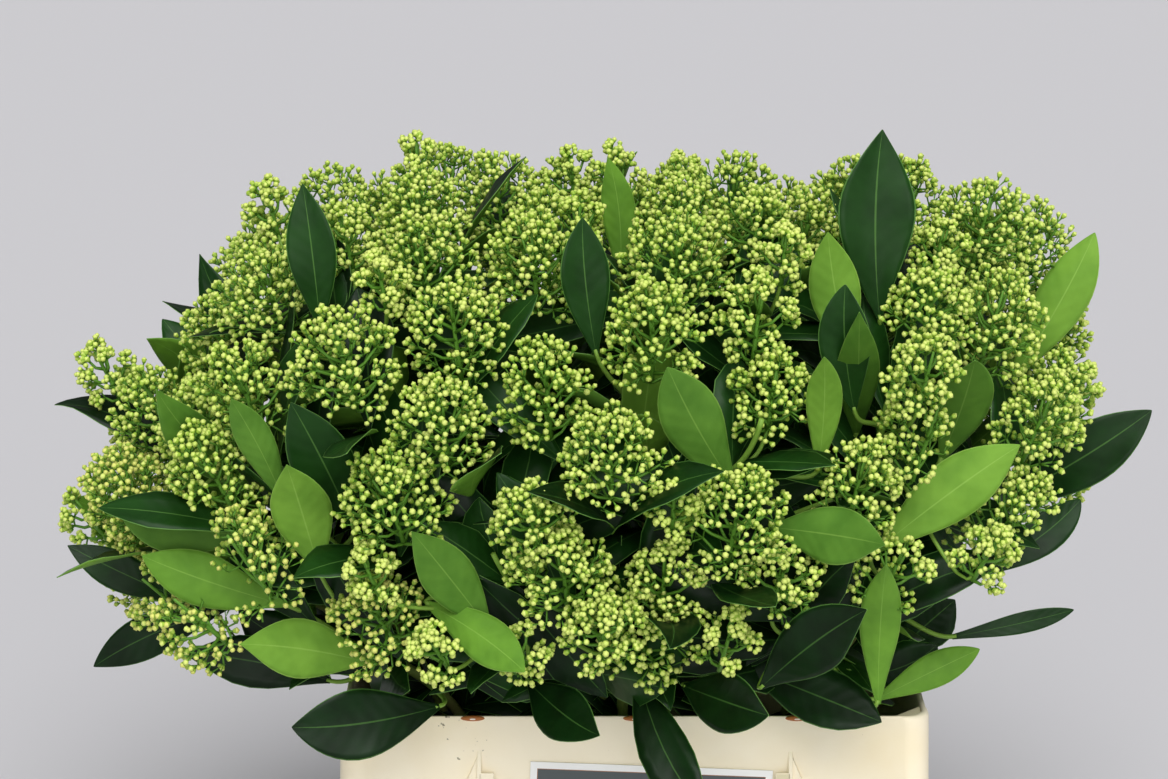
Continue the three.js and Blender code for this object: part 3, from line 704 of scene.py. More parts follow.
def growSideHeads():
    for order, (place, size) in enumerate(sideHeads["placed"]):
        growSideHead(array(place, float), axisAt(place), size, order)
    places = [array(onDome(*out)) for out in spiral(sideHeads["spots"], 1)]
    places = [place for place in places if place[2] - crown["centreZ"] >= lowestAt(place[0])]
    axes = array([axisAt(place) for place in places])
    depths = array([sideHeads["depth"] + dentAt(place) for place in places])
    spots = array(places) - axes * depths[:, None]
    middles = spots - axes * sideHeads["middle"]
    room = np.full(len(spots), sideHeads["open"])

    def roomBeside(centre, radius):
        return np.minimum(room, norm(middles - centre, axis=1) - radius * sideHeads["ownHead"])
    for each in (each for spray in sprays for each in spray["heads"]):
        room = roomBeside(middlesOf(each), each["radius"] * each["size"])
    for b in largeLeaves:
        run = (b["tip"] - b["foot"]) * sideHeads["leafPart"]
        foot = b["tip"] - run
        share = np.clip((middles - foot) @ run / (run @ run), 0, 1)
        away = norm(middles - foot - share[:, None] * run, axis=1)
        room = np.minimum(room, away - b["width"] / 2 * sideHeads["ownLeaf"])
    for grown in range(sideHeads["most"]):
        k = int(np.argmax(room))
        if room[k] < sideHeads["least"]:
            return grown
        size = min(room[k], sideHeads["widest"]) / headRule["radius"]
        growSideHead(spots[k], axes[k], size, len(sideHeads["placed"]) + grown)
        room = roomBeside(middles[k], size * headRule["radius"])
    return sideHeads["most"]


print("side panicles:", growSideHeads())
heads = [each for spray in sprays for each in spray["heads"]]


# Shapes that are copied many times, as arrays

def asArrays(bm, slotOf=lambda face: 0):
    bmesh.ops.triangulate(bm, faces=bm.faces[:])
    bm.normal_update()
    bm.verts.index_update()
    points = array([v.co[:] for v in bm.verts])
    faces = array([[v.index for v in f.verts] for f in bm.faces])
    slots = array([slotOf(f) for f in bm.faces])
    bm.free()
    faces = array([np.roll(face, -face.argmin()) for face in faces])
    order = np.lexsort(faces.T)  # the same in every run
    return {"points": points, "faces": faces[order], "slots": slots[order]}


def inBatches(copies, most=190000):
    # the copies dealt out to pieces of no more triangles than the most
    batches, room = [[]], most
    for shape, points, slots in copies:
        start, each = 0, len(shape["faces"])
        while start < len(points):
            end = min(start + room // each, len(points))
            if end > start:
                batches[-1].append((shape, points[start:end], slots[start:end]))
                room -= (end - start) * each
                start = end
            else:
                batches.append([])
                room = most
    return batches


def makePieces(name, copies, materials, replaced):
    # copies: lists of (shape, points of each copy in millimetres, slots of each copy's faces)
    batches = inBatches(copies)
    for number, batch in enumerate(batches):
        faces, uvs, first = [], [], 0
        for shape, points, slots in batch:
            offsets = first + len(shape["points"]) * np.arange(len(points))
            faces.append((shape["faces"][None] + offsets[:, None, None]).reshape(-1, 3))
            if "uv" in shape:
                uvs.append(np.tile(shape["uv"][shape["faces"].reshape(-1)], (len(points), 1)))
            first += len(shape["points"]) * len(points)
        faces = concatenate(faces)
        points = concatenate([points.reshape(-1, 3) for shape, points, slots in batch]) * mm
        label = name if len(batches) == 1 else f"{name}_{number + 1}"
        mesh = bpy.data.meshes.new(label)
        mesh.vertices.add(len(points))
        mesh.vertices.foreach_set("co", points.reshape(-1))
        mesh.loops.add(faces.size)
        mesh.loops.foreach_set("vertex_index", faces.reshape(-1))
        mesh.polygons.add(len(faces))
        mesh.polygons.foreach_set("loop_start", np.arange(0, faces.size, 3))
        mesh.polygons.foreach_set("material_index", concatenate([slots.reshape(-1) for *_, slots in batch]))
        if uvs:
            mesh.uv_layers.new(name="blade").data.foreach_set("uv", concatenate(uvs).reshape(-1))
        mesh.update(calc_edges=True)
        mesh.shade_smooth()
        finishPiece(label, mesh, materials, replaced)


def finishPiece(name, mesh, materials, replaced=()):
    for material in materials:
        mesh.materials.append(material)
    piece = bpy.data.objects.new(name, mesh)
    bpy.context.scene.collection.objects.link(piece)
    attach(piece, "root")
    if replaced:
        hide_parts(*replaced)


def uprightCone(sides, tipRadius):
    # a closed cone or cylinder of unit size that stands at the origin
    bm = bmesh.new()
    bmesh.ops.create_cone(bm, cap_ends=True, segments=sides, radius1=1, radius2=tipRadius, depth=1)
    if tipRadius == 0:
        bmesh.ops.rotate(bm, verts=bm.verts, matrix=Matrix.Rotation(math.pi, 3, "X"))
    bmesh.ops.translate(bm, verts=bm.verts, vec=(0, 0, 0.5))
    return bm


def limbShape(sides, steps):
    # a cylinder cut into steps, to be bent along a path
    bm = uprightCone(sides, 1)
    if steps > 1:
        upright = [e for e in bm.edges if abs(e.verts[0].co.z - e.verts[1].co.z) > 0.5]
        bmesh.ops.subdivide_edges(bm, edges=upright, cuts=steps - 1, use_grid_fill=True)
    return asArrays(bm)


def budShape():
    # an egg-shaped bud of unit size on a narrow calyx, which is slot 0; its body is 1 and its tip 2
    bm = bmesh.new()
    bmesh.ops.create_uvsphere(bm, u_segments=6, v_segments=3, radius=0.5)
    bmesh.ops.translate(bm, verts=bm.verts, vec=(0, 0, 0.5))
    for v in bm.verts:
        if 0.1 < v.co.z < 0.9:
            low = v.co.z < 0.5
            widen = (0.34 if low else 0.5) / math.hypot(v.co.x, v.co.y)
            v.co = Vector((v.co.x * widen, v.co.y * widen, 0.3 if low else 0.7))
    return asArrays(bm, lambda face: int(np.digitize(face.calc_center_median().z, [0.3, 0.78])))


def bladeShape(rows, strips):
    # a thin closed blade: x from side to side, y from foot to tip, and two skins one thickness apart
    bm = bmesh.new()
    bmesh.ops.create_grid(bm, x_segments=len(strips) - 1, y_segments=rows, size=1)
    for v in bm.verts:
        column = round((v.co.x + 1) / 2 * (len(strips) - 1))
        row = round((v.co.y + 1) / 2 * rows)  # the rows lie closer at both ends
        v.co = Vector((strips[column], 0.5 - 0.5 * math.cos(math.pi * row / rows), 0))
    bmesh.ops.solidify(bm, geom=bm.faces[:], thickness=1.0)
    centre = sum(v.co.z for v in bm.verts) / len(bm.verts)
    bmesh.ops.translate(bm, verts=bm.verts, vec=(0, 0, -centre))
    bmesh.ops.recalc_face_normals(bm, faces=bm.faces[:])

    def slotOf(face):
        return 2 if abs(face.normal.z) < 0.5 else int(face.normal.z < 0)
    shape = asArrays(bm, slotOf)
    shape["uv"] = np.column_stack([(shape["points"][:, 0] + 1) / 2, shape["points"][:, 1]])
    return shape


def bendLimbs(shape, paths, radii):
    # paths: (n, k, 3) centre lines, radii: (n, k), k being one more than the shape's steps
    paths, radii = np.asarray(paths, float), np.asarray(radii, float)
    steps = paths.shape[1] - 1
    rows = np.rint(shape["points"][:, 2] * steps).astype(int)
    headings = units(np.gradient(paths, axis=1))
    side = units(np.cross(headings[:, 0], [0.31, 0.17, 0.93]))
    sides = np.empty_like(paths)
    for k in range(steps + 1):
        side = units(side - headings[:, k] * np.sum(side * headings[:, k], axis=1, keepdims=True))
        sides[:, k] = side
    thirds = np.cross(headings, sides)
    x, y = shape["points"][:, 0, None], shape["points"][:, 1, None]
    return paths[:, rows] + radii[:, rows, None] * (sides[:, rows] * x + thirds[:, rows] * y)


def placeCopies(shape, feet, headings, widths, lengths):
    # straight copies that stand at their feet and look along their headings
    headings = units(headings)
    side = units(np.cross(headings, [0.23, 0.41, 0.88]))
    third = np.cross(headings, side)
    x, y, z = shape["points"].T
    return (feet[:, None] + side[:, None] * (widths[:, None] * x)[..., None]
            + third[:, None] * (widths[:, None] * y)[..., None]
            + headings[:, None] * (lengths[:, None] * z)[..., None])


# Panicles of buds

panicle = {
    "clusters": 23, "least": 10,
    "lowest": 0.17, "span": 0.76,  # of the head's height, where the clusters stand
    "widen": 1.2,  # the buds reach this much further than the solid's skin
    "buds": (12, 17),  # in the lowest and the topmost cluster
    "lean": (82, 4),  # degrees off the rachis, of the lowest and the topmost cluster
    "fewestBuds": 5,  # a cluster with fewer that clear the leaves isn't drawn
    "rays": (0.72, 1.2), "sizes": (0.86, 1.1),  # of a cluster's radius, and of a bud's size
    "spread": 0.26,  # a cluster's radius, of the head's
    "levels": (0.0, 0.1, 0.25, 0.45, 0.7, 0.88, 1.0),
    "reach": (0.35, 0.62, 0.86, 1.0, 0.86, 0.56, 0.12),  # of the head's radius, at each level
    "budWidth": 4.1, "budLength": 5.7,
    "stalk": 0.72,  # its radius at the bud
    "twig": 0.75,
    "branch": (1.3, 0.9),
    "rachis": (1.9, 0.9),
    "aside": 16,  # millimetres that a head steps off a large leaf
    "fewest": 0.5,  # a head that keeps a smaller share of its clusters isn't drawn
    "bare": 42,  # how much shorter its shoot is then
    "before": (-4, 110),  # millimetres before a large leaf, from which a head or bud covers it
}
budCopy, twigCopy, branchCopy, rachisCopy = budShape(), limbShape(3, 1), limbShape(4, 2), limbShape(6, 4)
stalkCopy = asArrays(uprightCone(3, 0))  # it widens from a point in the twig to its foot in the bud
shootRings = 15  # along a shoot or side twig
shootCopy, stubCopy = limbShape(6, shootRings - 1), limbShape(8, 3)

toFront = unit(array([0, -0.97, 0.26]))
ribs = []  # points of the large leaves' midribs, the ways up from them, and the half widths there
for b in largeLeaves:
    shares = linspace(0.25, 1, 12)
    spine, along = midrib(b, shares)
    uppers = [unit(np.cross(np.cross(a, b["face"]), a)) for a in along]
    ribs.append((spine, uppers, b["width"] / 2 * outlineOf(b, shares * 0.97)))
ribSpots, ribUppers, ribHalves = (concatenate(part) for part in zip(*ribs))


def seenBeside(point):
    # which midrib points a point stands before, and its way and distance off them as the front sees it
    offset = point - ribSpots
    before = offset @ toFront
    flat = offset - before[:, None] * toFront
    near, far = panicle["before"]
    return (before > near) & (before < far), flat, norm(flat, axis=1)


def coversLeaf(point, room):
    # whether something at a point would cover a large leaf from the front
    stands, flat, aside = seenBeside(point)
    return bool((stands & (aside < ribHalves * 0.85 + room)).any())


def stepAside(each):
    # a head that stands before a large leaf moves off it, as far as the bunch lets it
    stands, flat, aside = seenBeside(each["foot"] + each["stands"] * each["height"] * 0.5)
    overlap = np.where(stands, ribHalves + each["radius"] * each["size"] * 0.8 - aside, 0)
    k = int(np.argmax(overlap))
    if overlap[k] > 0:
        each["place"] = each["place"] + flat[k] / aside[k] * min(overlap[k], panicle["aside"])
        standUp(each)


def clearOfLeaves(points):
    # which of the points don't stick in a large leaf's blade, or lie close before it
    offset = points[:, None] - ribSpots[None]
    above = np.einsum("prk,rk->pr", offset, ribUppers)
    aside = norm(offset - above[..., None] * ribUppers[None], axis=2)
    return ~((np.abs(above) < 9) & (aside < ribHalves + 2)).any(axis=1)


def growCluster(rng, foot, axis, height, radius, level, outward):
    # a hub on the rachis with three forks, and buds all round, of which those clear of large leaves stay
    spread = radius * panicle["spread"] * between(1.1, 0.92, level) * rng.uniform(0.9, 1.12)
    reach = radius * np.interp(level, panicle["levels"], panicle["reach"]) * rng.uniform(0.9, 1.06)
    centre = foot + axis * height * level + outward * max(0.0, reach - spread)
    lean = math.radians(between(*panicle["lean"], level ** 1.3))
    heading = outward * math.sin(lean) + axis * math.cos(lean)
    if coversLeaf(centre, 2):
        return {}
    hub = centre - heading * spread * 0.85
    count = round(between(*panicle["buds"], level) * rng.uniform(0.85, 1.15))
    heights = 1 - 1.3 * ((np.arange(count) + 0.5) / count)
    p, q = sidesOf(heading)

    def around(turns):
        return np.outer(np.cos(turns), p) + np.outer(np.sin(turns), q)
    rays = around(golden * np.arange(count) + rng.uniform(*anyTurn)) * np.sqrt(1 - heights ** 2)[:, None]
    rays = heading * heights[:, None] + rays
    rays = units(rays + rng.normal(0, 0.13, rays.shape))
    tops = centre + rays * (spread * rng.uniform(*panicle["rays"], count))[:, None]
    turns = rng.uniform(*anyTurn) + np.arange(3) * 2.09
    knots = units(np.vstack([heading, heading * 0.45 + 0.9 * around(turns)]))
    forks = hub + knots * spread * 0.8
    starts = forks[np.argmax(rays @ knots.T, axis=1)]
    headings = units(tops - starts)
    sizes = rng.uniform(*panicle["sizes"], count)
    clear = clearOfLeaves(tops)
    if clear.sum() < panicle["fewestBuds"]:
        return {}
    tops, headings, sizes, starts = tops[clear], headings[clear], sizes[clear], starts[clear]
    feet = tops - headings * (panicle["budLength"] * sizes)[:, None]
    root = foot + axis * height * max(0.1, level * 0.78 - 0.1)
    return {"branches": [root, (root + hub) / 2 - axis * 1.5 + outward * 1.5, hub], "level": level,
            "budFeet": feet, "budHeadings": headings, "budSizes": sizes,
            "stalkFrom": starts - headings * 1.6, "stalkTo": feet + headings * 0.7,
            "twigFrom": np.repeat(hub[None], 4, axis=0), "twigTo": forks}


def growPanicle(each, out):
    stepAside(each)
    rng = np.random.default_rng([each["spray"], each["order"], 5])
    foot, axis, height = each["foot"], each["stands"], each["height"]
    radius = each["radius"] * each["size"] * panicle["widen"]
    clusters = max(panicle["least"], round(panicle["clusters"] * each["size"] ** 1.2))
    turn = rng.uniform(0, 2 * math.pi)
    grown = []
    for k in range(clusters):
        level = panicle["lowest"] + panicle["span"] * (k / (clusters - 1)) ** 0.92
        outward = outwardOf(axis, turn + golden * k + rng.normal(0, 0.14))
        grown.append(growCluster(rng, foot, axis, height, radius, level, outward))
    grown = [cluster for cluster in grown if cluster]
    if len(grown) < panicle["fewest"] * clusters:
        each["hasShoot"] = each["hasShoot"] and "thin" not in each
        each["bare"] = panicle["bare"]
        return
    highest = max(cluster["level"] for cluster in grown)
    out["rachis"].append([foot + axis * height * t for t in linspace(0.12, min(0.84, highest), 5)])
    for cluster in grown:
        for key, value in cluster.items():
            out[key].append(value)


def straightTwigs(copy, starts, ends, radius):
    lines = ends - starts
    lengths = norm(lines, axis=1)
    keep = lengths > 0.2
    return placeCopies(copy, starts[keep], lines[keep], np.full(keep.sum(), radius), lengths[keep])


def oneSlot(shape, points, slot):
    return shape, points, np.full((len(points), len(shape["faces"])), slot)


def limbs(copy, lines, radii, slot):
    # limbs with one taper, along lines
    radii = np.tile(linspace(*radii, len(lines[0])), (len(lines), 1))
    return oneSlot(copy, bendLimbs(copy, lines, radii), slot)


def budsOf(spray, out):
    number, fork = spray["number"], spray["fork"]
    blushes = fork[0] < -110 and fork[1] < 0 and fork[2] < 330
    tint = 2 if blushes else int(chance(number, 700, 1) * 2)
    sizes = concatenate(out["budSizes"])
    points = placeCopies(budCopy, concatenate(out["budFeet"]), concatenate(out["budHeadings"]),
                         panicle["budWidth"] * sizes, panicle["budLength"] * sizes)
    strays = np.random.default_rng([number, 3]).random(len(points)) < 0.22
    tints = np.where(strays, (tint + 1) % 2, tint)
    return budCopy, points, budCopy["slots"][None] + 3 * tints[:, None]


def stalksOf(out):
    for copy, part in ((stalkCopy, "stalk"), (twigCopy, "twig")):
        starts, ends = concatenate(out[part + "From"]), concatenate(out[part + "To"])
        yield oneSlot(copy, straightTwigs(copy, starts, ends, panicle[part]), 0)
    yield limbs(branchCopy, out["branches"], panicle["branch"], 0)
    yield limbs(rachisCopy, out["rachis"], panicle["rachis"], 0)


def shootsOf(spray):
    leafy = [b["holds"][0] for b in blades if b["kind"] == "whorl" and b["spray"] == spray["number"]]
    shoots = [each for each in spray["allShoots"] if each["hasShoot"]
              and ("bare" not in each or any(each is other for other in leafy))]
    if shoots:
        ends = [1 - each.get("bare", 0) / each["path"].length for each in shoots]
        lines = [each["path"].at(linspace(0, end, shootRings)) for each, end in zip(shoots, ends)]
        taper = linspace(shootRule["radius"], shootRule["tipRadius"], shootRings)
        radii = [taper * each.get("thin", 1) for each in shoots]
        yield oneSlot(shootCopy, bendLimbs(shootCopy, lines, radii), 1)
    held = [b for b in blades if "points" in b and b["spray"] == spray["number"]]
    setFeet(held)
    lines = []
    for b in held:
        start, end, way = b["twigFoot"], b["foot"], midrib(b, [0.02])[1][0]
        path = Path(start, (start + end) / 2, end - way * 14, end + way * 3)  # it ends in the petiole
        lines.append(path.at(linspace(0, 1, shootRings)))
    if lines:
        yield limbs(shootCopy, lines, sideTwig["radii"], 1)
    top = spray["fork"] + spray["heading"] * stubRule["length"]
    line = [spray["fork"] + (top - spray["fork"]) * t for t in linspace(0, 1, 4)]
    yield limbs(stubCopy, [line], (stubRule["radius"], stubRule["tipRadius"] * 0.8), 1)


def spraysByTier():
    for name, *rule in tiers:
        own = [spray for spray in sprays if spray["tier"] == name]
        yield name, own, [spray["skin"] for spray in own]


def makeFlowers():
    for name, own, replaced in spraysByTier():
        buds, twigs = [], []
        for spray in own:
            out = defaultdict(list)
            for each in spray["heads"]:
                growPanicle(each, out)
            if out["rachis"]:
                buds.append(budsOf(spray, out))
                twigs += stalksOf(out)
            twigs += shootsOf(spray)
        makePieces(f"buds_{name}", buds, budMaterials, replaced)
        makePieces(f"twigs_{name}", twigs, twigMaterials, replaced)


makeFlowers()
print("panicles grown")


# Leaves

largeBlade = bladeShape(22, [-1, -0.8, -0.45, 0, 0.45, 0.8, 1])
fineBlade = bladeShape(12, [-1, -0.55, 0, 0.55, 1])
plainBlade = bladeShape(8, [-1, 0, 1])
innerBlade = bladeShape(5, [-1, 0, 1])
bladeOf = {"standout": largeBlade, "whorl": fineBlade, "backdrop": fineBlade, "head": plainBlade,
           "shoot": innerBlade, "stem": innerBlade}


def bendBlades(shape, own):
    # the shape's flat blade is given its outline, and folded, bowed, twisted and waved along its midrib
    seeds = [[b["spray"], int(abs(b["tip"][0] * 7)), int(abs(b["tip"][2] * 7))] for b in own]
    ranges = (blade["fold"], blade["arch"], (-1, 1), anyTurn)
    draws = [[rng.uniform(*pair) for pair in ranges] for rng in map(np.random.default_rng, seeds)]
    fold, arch, twist, phase = array(draws).T[..., None]
    u, s, side = shape["points"].T
    width = array([b["width"] for b in own])[:, None] * blade["slim"]
    length = array([norm(b["tip"] - b["foot"]) for b in own])[:, None]
    spine, along = (array(part) for part in zip(*[midrib(b, s) for b in own]))
    across = units(np.cross(along, array([b["face"] for b in own])[:, None]))
    upper = np.cross(across, along)
    twist = twist * blade["twist"] * (s - 0.35)
    half = width / 2 * array([outlineOf(b, s) for b in own]) + blade["petiole"] * (1 - s) ** 4 + 0.3
    sideways = u * half
    waves = np.sin(2 * math.pi * blade["waves"] * s + phase + 2 * u)
    lift = fold * np.abs(u) * half + blade["wave"] * half * u * u * waves
    lift = lift + side * blade["thickness"] * (0.45 + 0.55 * (1 - np.abs(u)))
    turned = sideways * np.cos(twist) - lift * np.sin(twist)
    raised = sideways * np.sin(twist) + lift * np.cos(twist) + 4 * arch * length * s * (1 - s)
    return spine + across * turned[..., None] + upper * raised[..., None]


headTops = array([each["place"] for each in heads])
headAxes = array([each["axis"] for each in heads])
headHeights = array([each["height"] for each in heads])
headRadii = array([each["radius"] * each["size"] for each in heads])


def insideHeads(points, share):
    # whether a point lies in a head, nearer its axis than a share of its reach
    offset = points[:, None] - headTops[None]
    along = np.einsum("phk,hk->ph", offset, headAxes)
    aside = norm(offset - along[..., None] * headAxes[None], axis=2)
    level = 1 + along / headHeights
    reach = headRadii * np.interp(level, panicle["levels"], panicle["reach"])
    return bool(((level > 1 - share) & (level < 1.02) & (aside < share * reach)).any())


def domeShare(points):
    # 1 on the dome's skin, less inside it
    x, y, z = (points - middle).T
    p = crown["shoulders"]
    wide = np.where(x < 0, crown["left"], crown["right"])
    deep = np.where(y < 0, crown["front"], crown["back"])
    return ((np.abs(x) / wide) ** p + (np.abs(y) / deep) ** p + (np.abs(z) / crown["rise"]) ** p) ** (1 / p)


# half the width and depth that clear the bucket's wall, the height that clears its lip, and the deepest leaf
clearance = {"inside": (186, 137), "outside": (204, 154), "lip": 254, "deepest": 205}
# where a leaf would hang over or beside the rim: x from and to, y up to, z up to
overRim = [(-500, 500, -135, 268), (222, 500, 60, 320), (200, 500, -40, 302), (-500, -215, 60, 268)]


def inBucketWall(points):
    # whether a point lies in the bucket's wall or lip, deep in the bucket, or hangs over or beside its rim
    x, y, z = points.T
    inside, outside = [(np.abs(x) < wide) & (np.abs(y) < deep)
                       for wide, deep in (clearance["inside"], clearance["outside"])]
    wrong = (z < clearance["lip"]) & outside & ~inside | (z < clearance["deepest"])
    for low, high, back, top in overRim:
        wrong |= (x > low) & (x < high) & (y < back) & (z < top)
    return bool(wrong.any())


def samples(b):
    run, across = b["tip"] - b["foot"], unit(np.cross(b["tip"] - b["foot"], b["face"]))
    spots = [b["foot"] + run * t for t in (0.35, 0.55, 0.75, 0.9, 1.0)]
    return array(spots + [b["foot"] + run * 0.6 + across * b["width"] * w for w in (-0.42, 0.42)])


def hangsOutside(b):
    # a whorl leaf that would hang beside or before the bucket, or low at its right
    x, y, z = b["tip"]
    outside = z < 268 and (abs(x) > 180 or y > 130)
    overFront = z < 245 and x < -60 or z < 300 and x < -250 and y < -200
    underRight = y < 60 and z < 400 and x > between(228, 262, min(1, max(0, (z - 330) / 60)))
    return b["kind"] == "whorl" and (outside or overFront or underRight)


extraLeaves = {
    "most": {"head": 6, "shoot": 10, "stem": 22},  # under each head, on each shoot and stem
    "lean": {"head": (28, 72), "shoot": (42, 88), "stem": (45, 95)},  # degrees off the shoot or stem
    "length": (74, 108),
    "width": (32, 44),
    "depth": {"head": 0.93, "shoot": 0.84, "stem": 0.8},  # how far out of the dome a tip may come
    "insideHead": {"head": 0.88, "shoot": 0.62, "stem": 0.62},
    "tries": 10,
}


def fits(b):
    spots = samples(b)
    return (domeShare(spots[-3:]).max() < extraLeaves["depth"][b["kind"]] and not inBucketWall(spots)
            and not insideHeads(spots, extraLeaves["insideHead"][b["kind"]])
            and clearOfLeaves(spots[1:]).all()
            and not (b["kind"] == "head" and any(coversLeaf(spot, 4) for spot in spots[2:])))


def growMore(spray, item, path, span, kind):
    # one leaf on a span of a shoot or stem, measured back from its end, if it finds room
    for attempt in range(extraLeaves["tries"]):
        pick = [chance(spray["number"], 1000 + item * 16 + attempt, trait) for trait in range(5)]
        distance = between(*span, pick[0])
        foot = path.back(distance)
        heading = unit(path.back(distance - 2) - path.back(distance + 2))
        length = between(*extraLeaves["length"], pick[1]) * (1 - 0.04 * attempt)
        lean = math.radians(between(*extraLeaves["lean"][kind], pick[3]))
        way = leaning(heading, golden * item + 0.8 * attempt + pick[4], lean)
        b = {"foot": foot, "tip": foot + way * length, "width": between(*extraLeaves["width"], pick[2]),
             "face": heading, "spray": spray["number"], "kind": kind}
        if fits(b):
            return [b]
    return []


def moreLeaves():
    extra = []
    for spray in sprays:
        spans = []
        for each in mainShoots(spray):
            path, end = each["path"], whorlBack(each["height"])
            spans.append((path, (end - 4, end + 22), "head"))
            spans.append((path, (end + 25, min(path.length - 5, end + 95)), "shoot"))
        spans.append((spray["path"], (4, 120), "stem"))
        places = [span for span in spans for leaf in range(extraLeaves["most"][span[-1]])]
        for item, place in enumerate(places):
            extra += growMore(spray, item, *place)
    return extra


gapLeaves = {
    "layers": (0.76, 0.66, 0.54),  # of the dome's reach
    "spots": 1300, "down": 1.3,  # looked at in each layer, from the top to under the middle
    "open": 23,  # millimetres to the nearest leaf that leave a gap
    "reach": (34, 88),  # from the foot to the gap
    "beyond": 32,
    "width": 42,
}


def closeGaps(extra):
    # where light would still fall through the bunch a leaf grows across, from a shoot beside the gap
    feet, owners = [], []
    for spray in sprays:
        lines = [each["path"].at(linspace(0.1, 0.9, 8)) for each in spray["allShoots"]
                 if each["hasShoot"] and "thin" not in each]
        lines.append(spray["path"].at(linspace(0.55, 1, 10)))
        feet += lines
        owners += [spray["number"]] * sum(len(line) for line in lines)
    feet = concatenate(feet)
    filled = concatenate([samples(b) for b in blades + extra])
    nearest, furthest = gapLeaves["reach"]
    grown = []
    for layer in gapLeaves["layers"]:
        for out in spiral(gapLeaves["spots"], gapLeaves["down"]):
            target = middle + (array(onDome(*out)) - middle) * layer
            if norm(filled - target, axis=1).min() < gapLeaves["open"]:
                continue
            runs = target - feet
            lengths = norm(runs, axis=1)
            near = (lengths > nearest) & (lengths < furthest)
            steep = np.where(near, np.abs(runs @ unit(out)) / lengths, 9)
            for best in np.argsort(steep)[:4]:
                if steep[best] > 0.9:
                    break
                tip = target + runs[best] / lengths[best] * gapLeaves["beyond"]
                b = {"foot": feet[best], "tip": tip, "width": gapLeaves["width"], "face": unit(out),
                     "spray": owners[best], "kind": "shoot"}
                if fits(b):
                    grown.append(b)
                    filled = concatenate([filled, samples(b), [target]])
                    break
    return grown


def skinOf(own):
    # blades of one kind as one surface that others can be tried against
    shape = bladeOf[own[0]["kind"]]
    points, step = bendBlades(shape, own), len(shape["points"])
    faces = concatenate([shape["faces"] + step * k for k in range(len(own))])
    return BVHTree.FromPolygons(points.reshape(-1, 3).tolist(), faces.tolist())


def makeLeaves():
    setFeet(blades)
    extra = moreLeaves()
    across = closeGaps(extra)
    extra += across
    large = skinOf(largeLeaves)

    def pierces(b):
        return b["kind"] != "standout" and bool(skinOf([b]).overlap(large))
    drawn = [b for b in blades if not hangsOutside(b) and not pierces(b)]
    more = [b for b in extra if not pierces(b)]
    print("leaves: solids'", len(drawn), "of", len(blades), "and more", len(more), "of", len(extra),
          "of which", len(across), "close gaps")
    slotTable = array([[t, 3 + t, 6] for t in range(3)])
    for name, own, replaced in spraysByTier():
        numbers = {spray["number"] for spray in own}
        copies = []
        for shape in (largeBlade, fineBlade, plainBlade, innerBlade):
            chosen = [b for b in drawn + more if bladeOf[b["kind"]] is shape and b["spray"] in numbers]
            if chosen:
                tints = [int(chance(b["spray"], 800 + i % 2, 1) * 3) for i, b in enumerate(chosen)]
                copies.append((shape, bendBlades(shape, chosen), slotTable[tints][:, shape["slots"]]))
        makePieces(f"leaves_{name}", copies, leafMaterials, replaced)


makeLeaves()
print("leaves grown")


# Stems

bark = {
    "green": "#6d7f38", "brown": "#7a6a42",
    "steps": 56,
    "under": 0.25,  # millimetres that the plain surface lies under the solid's
    "ridges": 5, "ridge": 0.22,  # millimetres high
    "scars": 26.0,  # millimetres between leaf scars
    "scar": 0.7,
}


def barkMaterial():
    # green bark of half-ripe wood: dull, streaked along the stem, browner in patches
    material = newMaterial("greenBark", {"Roughness": 0.62, "IOR": 1.45})
    mottle(material, bark["brown"], bark["green"], 0.03, 4.0, (0.25, 0.5))
    tree = material.node_tree
    place = addNode(tree, "ShaderNodeTexCoord")
    stretch = addNode(tree, "ShaderNodeMapping", {"Scale": (1400, 1400, 120)}, {"Vector": (place, "Object")})
    relief(material, addNoise(tree, stretch, 1.0, 3.0), 0.0004, 0.7)
    return material


def bendStem(shape, spray):
    steps, path = bark["steps"], spray["path"]
    x, y, share = shape["points"].T
    angle = np.arctan2(y, x)
    line = path.at(linspace(0, 1, steps + 1))
    bent = bendLimbs(shape, [line], [linspace(*stemRule["radii"], steps + 1) - bark["under"]])[0]
    phase = np.random.default_rng([spray["number"], 9]).uniform(*anyTurn, 3)
    ridge = np.sin(bark["ridges"] * angle + phase[0] + 2.0 * np.sin(3 * share + phase[1]))
    knots = share * path.length / bark["scars"]
    scar = np.exp(-((knots % 1 - 0.5) * bark["scars"] / 2.2) ** 2)
    scar = scar * (0.5 + 0.5 * np.cos(angle - 2.4 * np.floor(knots) - phase[2]))
    grow = 1 + (bark["ridge"] * ridge + bark["scar"] * scar) / 4.2
    centre = line[np.rint(share * steps).astype(int)]
    bent = np.where(np.hypot(x, y)[:, None] < 0.5, bent, centre + (bent - centre) * grow[:, None])
    bent[share < 1e-6, 2] = stemRule["footZ"]
    return bent


def makeStems():
    material, shape = barkMaterial(), limbShape(14, bark["steps"])
    for name, own, skins in spraysByTier():
        stems = oneSlot(shape, array([bendStem(shape, spray) for spray in own]), 0)
        makePieces(f"stems_{name}", [stems], [material], [spray["stem"] for spray in own])


makeStems()
print("stems made")


# Bucket and card

